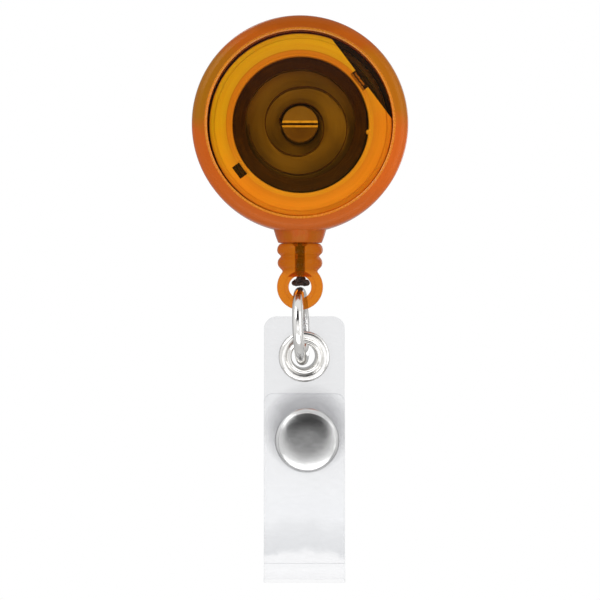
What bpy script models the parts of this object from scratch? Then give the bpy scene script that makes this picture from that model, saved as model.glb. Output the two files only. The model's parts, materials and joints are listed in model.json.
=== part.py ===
"""A retractable badge reel, hanging by its belt clip with the cord drawn in.

Metres, +Z up, front towards -Y, +X to the right as seen from the front.
The origin is inside the bend of the belt clip, where the edge of a belt or pocket bears.
Every size below is measured from the centre of the round case, in millimetres times MM.
"""
import math

import bpy
import bmesh
from mathutils import Vector

MM = 0.001
GAP = 0.3 * MM                      # clearance between neighbouring pieces
MERGE = 0.01 * MM
COLLECTION = "retractable_badge_reel"

# Case: two cups that meet at the middle plane. Heights are towards the front.
CASE_RADIUS = 16.0 * MM
CASE_HALF_DEPTH = 4.5 * MM
CASE_BORE_RADIUS = 14.2 * MM
WINDOW_RADIUS = 14.0 * MM
WINDOW_HEIGHT = 4.0 * MM            # outer face of the recessed window
WINDOW_THICKNESS = 1.0 * MM
RIB_RADIUS = 13.7 * MM              # inner edge of the rib round the window, inside the case
RIB_BOTTOM = 1.6 * MM
BACK_THICKNESS = 1.2 * MM
BOSS_RADIUS = 4.2 * MM
BOSS_HEIGHT = 0.6 * MM
CASE_STEPS = 64

# Nozzle under the case, which the cord leaves through
NOZZLE_TOP = -14.6 * MM
NOZZLE_TOP_RADIUS = 4.1 * MM
NOZZLE_BOTTOM = -17.45 * MM
NOZZLE_BOTTOM_RADIUS = 3.2 * MM
NOZZLE_BORE_RADIUS = 0.9 * MM

# Post in the middle of the back cover, and its slot for the spring
POST_RADIUS = 2.65 * MM
POST_HEIGHT = 2.2 * MM
POST_SLOT_WIDTH = 1.0 * MM
POST_SLOT_DEPTH = 4.1 * MM

# Spool
SPOOL_BORE_RADIUS = 2.95 * MM
SPOOL_HALF_WIDTH = 2.6 * MM
SPOOL_FLANGE_RADIUS = 13.4 * MM
SPOOL_FLANGE_THICKNESS = 0.6 * MM
SPOOL_WALL_INSIDE = 10.1 * MM
SPOOL_WALL_OUTSIDE = 10.7 * MM
FLAT_DISTANCE = 11.3 * MM           # centre to the flat cut in the front flange
FLAT_ANGLE = math.radians(37.0)     # where the flat faces, up from +X
FLAT_DEPTH = 4.0 * MM
FLAT_LENGTH = 18.0 * MM
ANCHOR_NOTCH_WIDTH = 3.0 * MM
ANCHOR_NOTCH_BOTTOM = 10.25 * MM    # radius where the notch ends
ANCHOR_NOTCH_DEPTH = 3.0 * MM
ANCHOR_SIZE = (0.7 * MM, 0.5 * MM, 2.2 * MM)
HOOK_ANGLE = math.radians(217.0)    # window of the spring's outer end
HOOK_WINDOW = (1.3 * MM, 2.0 * MM)  # radial and tangential size

# Mainspring
SPRING_PACK_INSIDE = 8.1 * MM
SPRING_PACK_OUTSIDE = 9.8 * MM
SPRING_HALF_WIDTH = 1.6 * MM
SPRING_STRIP = 0.25 * MM            # a thickened strip, so that it stays a solid
# radius of the loose inner turns at each quarter turn, clockwise from the slot's left end
SPRING_QUARTER_RADII = [radius * MM for radius in (3.1, 3.15, 3.5, 4.6, 5.2, 5.8, 6.9, 7.35, 7.6)]

# Cord
CORD_RADIUS = 0.4 * MM
WINDING_INSIDE = 11.3 * MM
WINDING_OUTSIDE = 12.8 * MM
WINDING_HALF_WIDTH = 1.7 * MM
LEAD_RADIUS = 13.5 * MM             # last turn, in the gap between the flanges and the case
LEAD_START = math.radians(2.0)
LEAD_END = math.radians(-62.0)

# Fitting on the cord's end
FITTING_TOP = -17.75 * MM
# radius and height down the two ribs
FITTING_PROFILE = [(radius * MM, height * MM) for radius, height in (
    (2.6, -17.75), (3.15, -18.0), (3.43, -18.6), (3.15, -19.2), (2.8, -19.55), (3.05, -19.85),
    (3.36, -20.5), (3.1, -21.15), (2.7, -21.6), (2.6, -21.9), (2.6, -22.4))]
FITTING_BORE_RADIUS = 0.75 * MM
EYE_Z = -24.12 * MM
EYE_RADIUS = 3.42 * MM
EYE_HALF_THICKNESS = 1.35 * MM
EYE_HOLE_RADIUS = 1.7 * MM
EYE_MOUTH_RADIUS = 2.35 * MM
KNOT_Z = -23.35 * MM
KNOT_RADIUS = 0.6 * MM
KNOT_STRETCH = (1.8, 1.6, 1.0)      # the knot is wider than it is high

# Link ring: it passes through the eye and the eyelet, turned and leaning a little
RING_PIVOT_Z = -24.9 * MM
RING_RADIUS = 5.05 * MM
RING_WIRE_RADIUS = 0.8 * MM
RING_TURN = math.radians(-5.7)      # about Z
RING_LEAN = math.radians(-2.0)      # about Y

# Strap: the rear leaf, the round fold and the front leaf
STRAP_X = 0.65 * MM
STRAP_WIDTH = 12.0 * MM
STRAP_THICKNESS = 0.5 * MM
STRAP_TOP = -28.5 * MM
STRAP_CORNER = 1.9 * MM
FOLD_RADIUS = 2.35 * MM             # to the middle of the sheet
FOLD_Z = -65.3 * MM
SEAT_HALF_ANGLE = math.radians(7.0)  # the fold has a narrow flat at its bottom, where a badge's slot hangs
FOLD_END = math.radians(190.0)      # where the rear leaf's solid stops round the fold
LEAF_START = math.radians(217.0)    # where the front leaf's solid starts
LEAF_NARROW = (-2.75 * MM, -61.2 * MM)
LEAF_Y = -3.4 * MM
LEAF_STRAIGHT_Z = -52.0 * MM
LEAF_TOP = -39.8 * MM
LEAF_CORNER = 1.5 * MM

# Eyelet and its washer
EYELET_Z = -34.48 * MM
EYELET_RADIUS = 3.8 * MM
EYELET_BORE_RADIUS = 1.9 * MM
EYELET_BARREL_RADIUS = 2.25 * MM
EYELET_HOLE_RADIUS = 2.55 * MM
EYELET_FLANGE_HEIGHT = 0.6 * MM

# Snap fastener
SNAP_X = 1.05 * MM
SNAP_Z = -46.7 * MM
CAP_RADIUS = 4.75 * MM
CAP_BAND = 0.85 * MM
CAP_CROWN = 0.5 * MM
RIVET_RADIUS = 0.9 * MM
RIVET_HOLE_RADIUS = 1.2 * MM
SOCKET_RADIUS = 3.2 * MM
SOCKET_MOUTH_RADIUS = 2.0 * MM
SOCKET_HEIGHT = 1.5 * MM
STUD_RADIUS = 3.2 * MM
STUD_KNOB_RADIUS = 1.65 * MM
POST_CAP_RADIUS = 3.5 * MM

# Belt clip: a strip of spring steel, riveted to the boss, bent over at the top
CLIP_WIDTH = 11.0 * MM
CLIP_THICKNESS = 0.5 * MM
CLIP_BASE_Y = CASE_HALF_DEPTH + BOSS_HEIGHT + GAP + CLIP_THICKNESS / 2
CLIP_BASE_BOTTOM = -9.0 * MM
CLIP_BEND_Z = 12.8 * MM
CLIP_BEND_RADIUS = 1.75 * MM
CLIP_BEND_END = math.radians(140.0)
TONGUE_BEND_START = math.radians(160.0)
TONGUE_MIDDLE = (8.45 * MM, 4.0 * MM)
TONGUE_NIP = (6.95 * MM, -8.0 * MM)  # where the tongue comes nearest to the base
TONGUE_LIP = (8.7 * MM, -12.0 * MM)
CLIP_RIVET_RADIUS = 0.75 * MM
CLIP_RIVET_HEAD_RADIUS = 2.0 * MM

GRIP = Vector((0.0, CLIP_BASE_Y + CLIP_BEND_RADIUS, CLIP_BEND_Z + CLIP_BEND_RADIUS - CLIP_THICKNESS / 2))

FACING_FRONT = (math.pi / 2, 0.0, 0.0)            # local +Z looks forward, local +Y up
SIDE_OUTLINE = (math.pi / 2, 0.0, math.pi / 2)    # local XY is the world's YZ
UPRIGHT = (0.0, 0.0, 0.0)

ORANGE = (0.80, 0.22, 0.03)
IVORY = (0.86, 0.62, 0.22)
SPRING_STEEL = (0.10, 0.08, 0.07)
NICKEL = (0.72, 0.72, 0.73)
DARK_CORD = (0.05, 0.03, 0.025)
CLEAR_VINYL = (0.92, 0.92, 0.93)

parts = None
cutters = None
pivots = {}


def clear_scene():
    for obj in list(bpy.data.objects):
        bpy.data.objects.remove(obj, do_unlink=True)


def make_collections():
    """The parts' collection and the cutters' collection."""
    global parts, cutters
    parts = bpy.data.collections.new(COLLECTION)
    cutters = bpy.data.collections.new("cutters")
    for collection in (parts, cutters):
        bpy.context.scene.collection.children.link(collection)


def add_pivot(name, place, parent=None):
    """An empty at a joint's axis, at a place counted from the case's centre."""
    empty = bpy.data.objects.new(name, None)
    empty.empty_display_size = 2.0 * MM
    parts.objects.link(empty)
    place = Vector(place)
    if parent:
        empty.parent = pivots[parent][0]
        empty.location = place - pivots[parent][1]
    else:
        empty.location = place - GRIP
    pivots[name] = (empty, place)


def paint(obj, name, color, roughness, metallic=0.0, alpha=1.0):
    """One Principled material for the object, shared by name."""
    material = bpy.data.materials.get(name)
    if material is None:
        material = bpy.data.materials.new(name)
        material.use_nodes = True
        shader = material.node_tree.nodes["Principled BSDF"]
        shader.inputs["Base Color"].default_value = (*color, 1.0)
        shader.inputs["Roughness"].default_value = roughness
        shader.inputs["Metallic"].default_value = metallic
        shader.inputs["Alpha"].default_value = alpha
        material.diffuse_color = (*color, alpha)
    obj.data.materials.clear()
    obj.data.materials.append(material)


def place_object(obj, pivot, place=(0.0, 0.0, 0.0), turn=UPRIGHT):
    """Hangs the object on a pivot; place is counted from the case's centre."""
    empty, origin = pivots[pivot]
    obj.parent = empty
    obj.location = Vector(place) - origin
    obj.rotation_euler = turn
    return obj


def new_part(name, data, pivot, place=(0.0, 0.0, 0.0), turn=UPRIGHT):
    obj = bpy.data.objects.new(name, data)
    parts.objects.link(obj)
    return place_object(obj, pivot, place, turn)


def new_cutter(name, data, pivot, place=(0.0, 0.0, 0.0), turn=UPRIGHT):
    obj = bpy.data.objects.new(name, data)
    cutters.objects.link(obj)
    obj.hide_render = True
    obj.display_type = "WIRE"
    return place_object(obj, pivot, place, turn)


def combine(obj, tool, operation="DIFFERENCE"):
    boolean = obj.modifiers.new(f"{operation.lower()}_{tool.name}", "BOOLEAN")
    boolean.operation = operation
    boolean.object = tool
    boolean.solver = "EXACT"


def turn_profile(obj, steps):
    screw = obj.modifiers.new("turn", "SCREW")
    screw.axis = "Z"
    screw.steps = steps
    screw.render_steps = steps
    screw.use_merge_vertices = True
    screw.merge_threshold = MERGE


def profile_mesh(name, profile, closed=False):
    """A profile of (radius, height) points, running down the outside."""
    mesh = bpy.data.meshes.new(name)
    edges = [(i, i + 1) for i in range(len(profile) - 1)]
    if closed:
        edges.append((len(profile) - 1, 0))
    mesh.from_pydata([(radius, 0.0, height) for radius, height in profile], edges, [])
    return mesh


def turned_part(name, profile, pivot, place=(0, 0, 0), turn=FACING_FRONT, steps=CASE_STEPS, closed=False):
    obj = new_part(name, profile_mesh(name, profile, closed), pivot, place, turn)
    turn_profile(obj, steps)
    return obj


def turned_cutter(name, profile, pivot, place=(0, 0, 0), turn=FACING_FRONT, steps=32):
    obj = new_cutter(name, profile_mesh(name, profile), pivot, place, turn)
    turn_profile(obj, steps)
    return obj


def box_mesh(name, size):
    mesh = bpy.data.meshes.new(name)
    shape = bmesh.new()
    bmesh.ops.create_cube(shape, size=1.0)
    bmesh.ops.scale(shape, vec=size, verts=shape.verts)
    shape.to_mesh(mesh)
    shape.free()
    return mesh


def outline_mesh(name, outline, thickness):
    """A flat outline given half the thickness each way, as a welded mesh."""
    curve = bpy.data.curves.new(name, "CURVE")
    curve.dimensions = "2D"
    curve.fill_mode = "BOTH"
    curve.extrude = thickness / 2
    spline = curve.splines.new("POLY")
    spline.points.add(len(outline) - 1)
    for point, (x, y) in zip(spline.points, outline):
        point.co = (x, y, 0.0, 1.0)
    spline.use_cyclic_u = True
    drawn = bpy.data.objects.new(name, curve)
    bpy.context.scene.collection.objects.link(drawn)
    evaluated = drawn.evaluated_get(bpy.context.evaluated_depsgraph_get())
    mesh = bpy.data.meshes.new_from_object(evaluated)
    bpy.data.objects.remove(drawn, do_unlink=True)
    shape = bmesh.new()
    shape.from_mesh(mesh)
    bmesh.ops.remove_doubles(shape, verts=shape.verts, dist=MERGE)
    bmesh.ops.recalc_face_normals(shape, faces=shape.faces)
    shape.to_mesh(mesh)
    shape.free()
    return mesh


def tube(name, points, radius, pivot):
    """A round cord through points counted from the case's centre."""
    curve = bpy.data.curves.new(name, "CURVE")
    curve.dimensions = "3D"
    curve.bevel_depth = radius
    curve.bevel_resolution = 2
    curve.use_fill_caps = True
    origin = pivots[pivot][1]
    spline = curve.splines.new("POLY")
    spline.points.add(len(points) - 1)
    for point, place in zip(spline.points, points):
        point.co = (*(Vector(place) - origin), 1.0)
    obj = bpy.data.objects.new(name, curve)
    parts.objects.link(obj)
    obj.parent = pivots[pivot][0]
    return obj


def arc(centre, radius, start, end, count):
    """Points round a centre, from one angle to another."""
    angles = [start + (end - start) * i / (count - 1) for i in range(count)]
    return [(centre[0] + radius * math.cos(a), centre[1] + radius * math.sin(a)) for a in angles]


def smooth_path(knots, count):
    """Points on a Catmull-Rom curve through the knots, count for each stretch."""
    knots = [Vector(knot) for knot in knots]
    ends = [2 * knots[0] - knots[1]] + knots + [2 * knots[-1] - knots[-2]]
    points = []
    for i in range(1, len(ends) - 2):
        before, start, end, after = ends[i - 1:i + 3]
        for step in range(count):
            t = step / count
            points.append(0.5 * (2 * start + (end - before) * t
                                 + (2 * before - 5 * start + 4 * end - after) * t ** 2
                                 + (3 * start - before - 3 * end + after) * t ** 3))
    return [tuple(point) for point in points + [knots[-1]]]


def strip_outline(path, thickness):
    """The closed outline of a strip that follows a path in a plane."""
    left, right = [], []
    for i, (x, y) in enumerate(path):
        ahead = path[min(i + 1, len(path) - 1)]
        behind = path[max(i - 1, 0)]
        along = Vector((ahead[0] - behind[0], ahead[1] - behind[1])).normalized()
        side = Vector((-along.y, along.x)) * thickness / 2
        left.append((x + side.x, y + side.y))
        right.append((x - side.x, y - side.y))
    return left + right[::-1]


def round_rectangle(width, bottom, top, corner, middle=0.0):
    """An outline with square lower corners and round upper ones."""
    half = width / 2
    right = arc((middle + half - corner, top - corner), corner, 0.0, math.pi / 2, 6)
    left = arc((middle - half + corner, top - corner), corner, math.pi / 2, math.pi, 6)
    return [(middle + half, bottom)] + right + left + [(middle - half, bottom)]


def polar(radius, angle, y=0.0):
    """A place on the case's face: the angle runs from +X up to +Z."""
    return (radius * math.cos(angle), y, radius * math.sin(angle))


def add_pivots():
    add_pivot("case_centre", (0, 0, 0))
    add_pivot("spool_axis", (0, 0, 0), "case_centre")
    add_pivot("cord_end_axis", (0, 0, FITTING_TOP), "case_centre")
    add_pivot("ring_pivot", (0, 0, RING_PIVOT_Z), "cord_end_axis")
    add_pivot("ring_centre", ring_centre(), "ring_pivot")
    add_pivot("fold_axis", (STRAP_X, -FOLD_RADIUS, FOLD_Z - FOLD_RADIUS), "ring_centre")
    add_pivot("clip_bend", (0, CLIP_BASE_Y + CLIP_BEND_RADIUS, CLIP_BEND_Z), "case_centre")


def ring_centre():
    lean = Vector((-math.sin(RING_LEAN), 0.0, -math.cos(RING_LEAN)))
    return Vector((0, 0, RING_PIVOT_Z)) + RING_RADIUS * lean


def nozzle_half(name, side):
    """Half of the nozzle; side is -1 for the front and +1 for the back."""
    profile = [(0, NOZZLE_TOP), (NOZZLE_TOP_RADIUS, NOZZLE_TOP),
               (NOZZLE_BOTTOM_RADIUS, NOZZLE_BOTTOM), (0, NOZZLE_BOTTOM)]
    cone = turned_cutter(name, profile, "case_centre", turn=UPRIGHT)
    depth = 8.0 * MM
    block = new_cutter(f"{name}_side", box_mesh(name, (12 * MM, depth, 8 * MM)), "case_centre",
                       (0, side * (GAP / 2 + depth / 2), NOZZLE_BOTTOM))
    combine(cone, block, "INTERSECT")
    return cone


def nozzle_bore(name):
    """The cord's way out, with a funnel inside the case."""
    profile = [(0, -13.2 * MM), (2.4 * MM, -13.2 * MM), (NOZZLE_BORE_RADIUS, -15.0 * MM),
               (NOZZLE_BORE_RADIUS, -18.0 * MM), (0, -18.0 * MM)]
    return turned_cutter(name, profile, "case_centre", turn=UPRIGHT, steps=24)


def front_cover():
    front = CASE_HALF_DEPTH
    inside = WINDOW_HEIGHT - WINDOW_THICKNESS
    profile = [(0, WINDOW_HEIGHT), (WINDOW_RADIUS, WINDOW_HEIGHT),
               (WINDOW_RADIUS + 0.15 * MM, front), (14.9 * MM, front - 0.08 * MM),
               (15.5 * MM, front - 0.4 * MM), (15.87 * MM, front - 0.9 * MM),
               (CASE_RADIUS, front - 1.5 * MM), (CASE_RADIUS, GAP / 2),
               (CASE_BORE_RADIUS, GAP / 2), (CASE_BORE_RADIUS, RIB_BOTTOM), (RIB_RADIUS, RIB_BOTTOM),
               (RIB_RADIUS, inside), (0, inside)]
    cover = turned_part("front_cover", profile, "case_centre")
    combine(cover, nozzle_half("front_nozzle", -1), "UNION")
    combine(cover, nozzle_bore("front_nozzle_bore"))
    paint(cover, "orange_plastic", ORANGE, 0.15, alpha=0.6)


def back_cover():
    back = -CASE_HALF_DEPTH
    floor = back + BACK_THICKNESS
    profile = [(0, POST_HEIGHT), (POST_RADIUS - 0.2 * MM, POST_HEIGHT),
               (POST_RADIUS, POST_HEIGHT - 0.2 * MM), (POST_RADIUS, floor + 0.4 * MM),
               (3.8 * MM, floor + 0.4 * MM), (3.8 * MM, floor), (CASE_BORE_RADIUS, floor),
               (CASE_BORE_RADIUS, -GAP / 2), (CASE_RADIUS, -GAP / 2),
               (CASE_RADIUS, back + 1.0 * MM), (15.7 * MM, back + 0.3 * MM), (15.0 * MM, back),
               (BOSS_RADIUS, back), (BOSS_RADIUS, back - BOSS_HEIGHT), (0, back - BOSS_HEIGHT)]
    cover = turned_part("back_cover", profile, "case_centre")
    combine(cover, nozzle_half("back_nozzle", 1), "UNION")
    combine(cover, nozzle_bore("back_nozzle_bore"))
    slot = new_cutter("post_slot", box_mesh("post_slot", (8 * MM, 2 * POST_SLOT_DEPTH, POST_SLOT_WIDTH)),
                      "case_centre", (0, -POST_HEIGHT, 0))
    combine(cover, slot)
    hole_radius = CLIP_RIVET_RADIUS + GAP
    hole = turned_cutter("clip_rivet_hole", [(0, -2.3 * MM), (hole_radius, -2.3 * MM),
                                             (hole_radius, -7.0 * MM), (0, -7.0 * MM)],
                         "case_centre", steps=20)
    combine(cover, hole)
    paint(cover, "orange_plastic", ORANGE, 0.15, alpha=0.6)


def spool():
    top = SPOOL_HALF_WIDTH
    under = top - SPOOL_FLANGE_THICKNESS
    profile = [(SPOOL_WALL_INSIDE + 0.2 * MM, top), (SPOOL_FLANGE_RADIUS, top),
               (SPOOL_FLANGE_RADIUS, under), (SPOOL_WALL_OUTSIDE, under),
               (SPOOL_WALL_OUTSIDE, -under), (SPOOL_FLANGE_RADIUS, -under),
               (SPOOL_FLANGE_RADIUS, -top), (SPOOL_BORE_RADIUS, -top),
               (SPOOL_BORE_RADIUS, -under), (SPOOL_WALL_INSIDE, -under),
               (SPOOL_WALL_INSIDE, top - 0.2 * MM)]
    drum = turned_part("spool", profile, "spool_axis", closed=True)
    flange_y = -(top + under) / 2
    flange_cut = 2 * SPOOL_FLANGE_THICKNESS
    cut_y = flange_y - SPOOL_FLANGE_THICKNESS / 2
    flat = new_cutter("flange_flat", box_mesh("flange_flat", (FLAT_DEPTH, flange_cut, FLAT_LENGTH)),
                      "spool_axis", polar(FLAT_DISTANCE + FLAT_DEPTH / 2, FLAT_ANGLE, cut_y),
                      (0, -FLAT_ANGLE, 0))
    combine(drum, flat)
    notch_size = (ANCHOR_NOTCH_DEPTH, flange_cut, ANCHOR_NOTCH_WIDTH)
    notch = new_cutter("anchor_notch", box_mesh("anchor_notch", notch_size), "spool_axis",
                       polar(ANCHOR_NOTCH_BOTTOM + ANCHOR_NOTCH_DEPTH / 2, FLAT_ANGLE, cut_y),
                       (0, -FLAT_ANGLE, 0))
    combine(drum, notch)
    radial, tangential = HOOK_WINDOW
    window = new_cutter("hook_window", box_mesh("hook_window", (radial, flange_cut, tangential)),
                        "spool_axis", polar(SPOOL_WALL_OUTSIDE + radial / 2, HOOK_ANGLE, flange_y),
                        (0, -HOOK_ANGLE, 0))
    combine(drum, window)
    slot = new_cutter("hook_slot", box_mesh("hook_slot", (1.6 * MM, 3.2 * MM, 1.2 * MM)),
                      "spool_axis", polar(10.4 * MM, HOOK_ANGLE), (0, -HOOK_ANGLE, 0))
    combine(drum, slot)
    paint(drum, "ivory_plastic", IVORY, 0.45)


def mainspring():
    """The wound pack with its hook, and the loose turns that reach the post."""
    ring = [(SPRING_PACK_OUTSIDE, SPRING_HALF_WIDTH), (SPRING_PACK_OUTSIDE, -SPRING_HALF_WIDTH),
            (SPRING_PACK_INSIDE, -SPRING_HALF_WIDTH), (SPRING_PACK_INSIDE, SPRING_HALF_WIDTH)]
    pack = turned_part("mainspring_pack", ring, "spool_axis", closed=True)
    hook = new_cutter("spring_hook", box_mesh("spring_hook", (1.6 * MM, 2.4 * MM, 0.5 * MM)),
                      "spool_axis", polar(10.2 * MM, HOOK_ANGLE), (0, -HOOK_ANGLE, 0))
    combine(pack, hook, "UNION")
    paint(pack, "spring_steel", SPRING_STEEL, 0.35, 0.9)

    quarters = len(SPRING_QUARTER_RADII) - 1
    path = [(0.6 * MM, 0.0), (-POST_RADIUS, 0.0), (-SPRING_QUARTER_RADII[0], 0.12 * MM)]
    steps = 8
    for i in range(1, quarters * steps + 1):
        quarter = i / steps
        low = min(int(quarter), quarters - 1)
        share = quarter - low
        radius = SPRING_QUARTER_RADII[low] * (1 - share) + SPRING_QUARTER_RADII[low + 1] * share
        angle = math.pi - quarter * math.pi / 2
        path.append((radius * math.cos(angle), radius * math.sin(angle)))
    mesh = outline_mesh("mainspring_arm", strip_outline(path, SPRING_STRIP), 2 * SPRING_HALF_WIDTH)
    arm = new_part("mainspring_arm", mesh, "case_centre", turn=FACING_FRONT)
    paint(arm, "spring_steel", SPRING_STEEL, 0.35, 0.9)


def cord():
    """The winding, the stretch to the nozzle, the stretch that draws out, and both ends."""
    ring = [(WINDING_OUTSIDE, WINDING_HALF_WIDTH), (WINDING_OUTSIDE, -WINDING_HALF_WIDTH),
            (WINDING_INSIDE, -WINDING_HALF_WIDTH), (WINDING_INSIDE, WINDING_HALF_WIDTH)]
    winding = turned_part("cord_winding", ring, "spool_axis", closed=True)
    arc_points = [(x, 0.0, z) for x, z in arc((0, 0), LEAD_RADIUS, LEAD_START, LEAD_END, 9)]
    last = Vector(arc_points[-1])
    exit_knots = [last, last.lerp(Vector((0.9 * MM, 0, -14.0 * MM)), 0.5), (0.9 * MM, 0, -14.0 * MM),
                  (0.15 * MM, 0, -14.9 * MM), (0, 0, -16.2 * MM), (0, 0, NOZZLE_BOTTOM + 0.05 * MM)]
    lead = tube("cord_lead", arc_points[:-1] + smooth_path(exit_knots, 3), CORD_RADIUS, "case_centre")
    run = tube("cord_run", [(0, 0, NOZZLE_BOTTOM - GAP + z * MM) for z in (0.0, -1.6, -3.2, -4.7)],
               CORD_RADIUS, "cord_end_axis")
    anchor = new_part("cord_anchor", box_mesh("cord_anchor", ANCHOR_SIZE), "spool_axis",
                      polar(10.85 * MM, FLAT_ANGLE, -2.35 * MM), (0, -FLAT_ANGLE, 0))
    knot_mesh = bpy.data.meshes.new("cord_knot")
    shape = bmesh.new()
    bmesh.ops.create_uvsphere(shape, u_segments=16, v_segments=10, radius=KNOT_RADIUS)
    bmesh.ops.scale(shape, vec=KNOT_STRETCH, verts=shape.verts)
    shape.to_mesh(knot_mesh)
    shape.free()
    knot = new_part("cord_knot", knot_mesh, "cord_end_axis", (0, 0, KNOT_Z))
    for piece in (winding, lead, run, anchor, knot):
        paint(piece, "dark_cord", DARK_CORD, 0.8)


def cord_end_fitting():
    top, bottom = FITTING_PROFILE[0][1], FITTING_PROFILE[-1][1]
    body = turned_part("cord_end_fitting", [(0, top)] + FITTING_PROFILE + [(0, bottom)], "cord_end_axis",
                       turn=UPRIGHT, steps=40)
    half = EYE_HALF_THICKNESS
    disc = [(0, half), (EYE_RADIUS - 0.2 * MM, half), (EYE_RADIUS, half - 0.2 * MM),
            (EYE_RADIUS, 0.2 * MM - half), (EYE_RADIUS - 0.2 * MM, -half), (0, -half)]
    eye = turned_cutter("fitting_eye", disc, "cord_end_axis", (0, 0, EYE_Z), steps=40)
    combine(body, eye, "UNION")
    past = half + 0.2 * MM
    hole = [(0, past), (EYE_MOUTH_RADIUS + 0.1 * MM, past), (EYE_HOLE_RADIUS, 0.45 * MM),
            (EYE_HOLE_RADIUS, -0.45 * MM), (EYE_MOUTH_RADIUS + 0.1 * MM, -past), (0, -past)]
    combine(body, turned_cutter("eye_hole", hole, "cord_end_axis", (0, 0, EYE_Z)))
    bore = [(0, 1 * MM + top), (FITTING_BORE_RADIUS, 1 * MM + top),
            (FITTING_BORE_RADIUS, KNOT_Z), (0, KNOT_Z)]
    combine(body, turned_cutter("fitting_bore", bore, "cord_end_axis", turn=UPRIGHT, steps=20))
    paint(body, "orange_plastic", ORANGE, 0.15, alpha=0.6)


def link_ring():
    bpy.ops.mesh.primitive_torus_add(major_radius=RING_RADIUS, minor_radius=RING_WIRE_RADIUS,
                                     major_segments=48, minor_segments=10)
    ring = bpy.context.active_object
    ring.name = "link_ring"
    for collection in list(ring.users_collection):
        collection.objects.unlink(ring)
    parts.objects.link(ring)
    place_object(ring, "ring_pivot", ring_centre(), (0, math.pi / 2 + RING_LEAN, RING_TURN))
    paint(ring, "nickel", NICKEL, 0.2, 1.0)


def strap():
    """Both leaves as strips of the side view, trimmed to round corners and pierced."""
    fold_centre = (-FOLD_RADIUS, FOLD_Z)
    down = [(0.0, STRAP_TOP), (0.0, FOLD_Z)]
    bottom = math.pi / 2
    back_of_fold = arc(fold_centre, FOLD_RADIUS, 0.0, SEAT_HALF_ANGLE - bottom, 7)
    front_of_fold = arc(fold_centre, FOLD_RADIUS, -bottom - SEAT_HALF_ANGLE, -FOLD_END, 8)
    rear_path = down + back_of_fold[1:] + front_of_fold
    rear_mesh = outline_mesh("strap_rear", strip_outline(rear_path, STRAP_THICKNESS), STRAP_WIDTH)
    rear = new_part("strap_rear", rear_mesh, "ring_centre", (STRAP_X, 0, 0), SIDE_OUTLINE)
    trim_leaf(rear, "ring_centre", STRAP_TOP, STRAP_CORNER)
    pierce(rear, "eyelet_hole", "ring_centre", (STRAP_X, 0, EYELET_Z), EYELET_HOLE_RADIUS)
    pierce(rear, "stud_hole", "ring_centre", (SNAP_X, 0, SNAP_Z), RIVET_HOLE_RADIUS)

    off_fold = arc(fold_centre, FOLD_RADIUS, -LEAF_START, -math.radians(240.0), 4)
    knots = [off_fold[-1], LEAF_NARROW, (LEAF_Y + 0.15 * MM, -56.0 * MM), (LEAF_Y, LEAF_STRAIGHT_Z),
             (LEAF_Y, LEAF_TOP)]
    path = off_fold[:-1] + smooth_path(knots, 5)
    front_mesh = outline_mesh("strap_front", strip_outline(path, STRAP_THICKNESS), STRAP_WIDTH)
    front = new_part("strap_front", front_mesh, "fold_axis", (STRAP_X, 0, 0), SIDE_OUTLINE)
    trim_leaf(front, "fold_axis", LEAF_TOP, LEAF_CORNER)
    pierce(front, "cap_hole", "fold_axis", (SNAP_X, LEAF_Y, SNAP_Z), RIVET_HOLE_RADIUS)
    for leaf in (rear, front):
        paint(leaf, "clear_vinyl", CLEAR_VINYL, 0.25, alpha=0.5)


def trim_leaf(leaf, pivot, top, corner):
    """Rounds the leaf's upper corners."""
    outline = round_rectangle(STRAP_WIDTH + 0.02 * MM, -75 * MM, top + 0.01 * MM, corner, STRAP_X)
    plate = new_cutter(f"{leaf.name}_outline", outline_mesh(leaf.name, outline, 16 * MM), pivot,
                       turn=FACING_FRONT)
    combine(leaf, plate, "INTERSECT")


def pierce(leaf, name, pivot, place, radius):
    half = 1.2 * MM
    profile = [(0, half), (radius, half), (radius, -half), (0, -half)]
    combine(leaf, turned_cutter(name, profile, pivot, place, steps=24))


def eyelet():
    """Seen from the front a rolled flange with a barrel; the washer lies behind the leaf."""
    face = STRAP_THICKNESS / 2 + GAP
    tall = face + EYELET_FLANGE_HEIGHT
    middle = (EYELET_RADIUS + EYELET_BORE_RADIUS) / 2
    flange = [(EYELET_BORE_RADIUS, tall - 0.25 * MM), (EYELET_BORE_RADIUS + 0.35 * MM, tall),
              (middle, tall), (EYELET_RADIUS - 0.3 * MM, tall - 0.12 * MM),
              (EYELET_RADIUS, tall - 0.4 * MM), (EYELET_RADIUS, face), (EYELET_BARREL_RADIUS, face),
              (EYELET_BARREL_RADIUS, -tall), (EYELET_BORE_RADIUS, -tall)]
    barrel = turned_part("eyelet", flange, "ring_centre", (STRAP_X, 0, EYELET_Z), closed=True, steps=40)
    ring = [(EYELET_RADIUS - 0.2 * MM, -face), (EYELET_RADIUS, -face - 0.2 * MM),
            (EYELET_RADIUS - 0.2 * MM, -tall), (EYELET_HOLE_RADIUS, -tall), (EYELET_HOLE_RADIUS, -face)]
    washer = turned_part("eyelet_washer", ring, "ring_centre", (STRAP_X, 0, EYELET_Z), closed=True, steps=40)
    for piece in (barrel, washer):
        paint(piece, "nickel", NICKEL, 0.2, 1.0)


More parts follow.
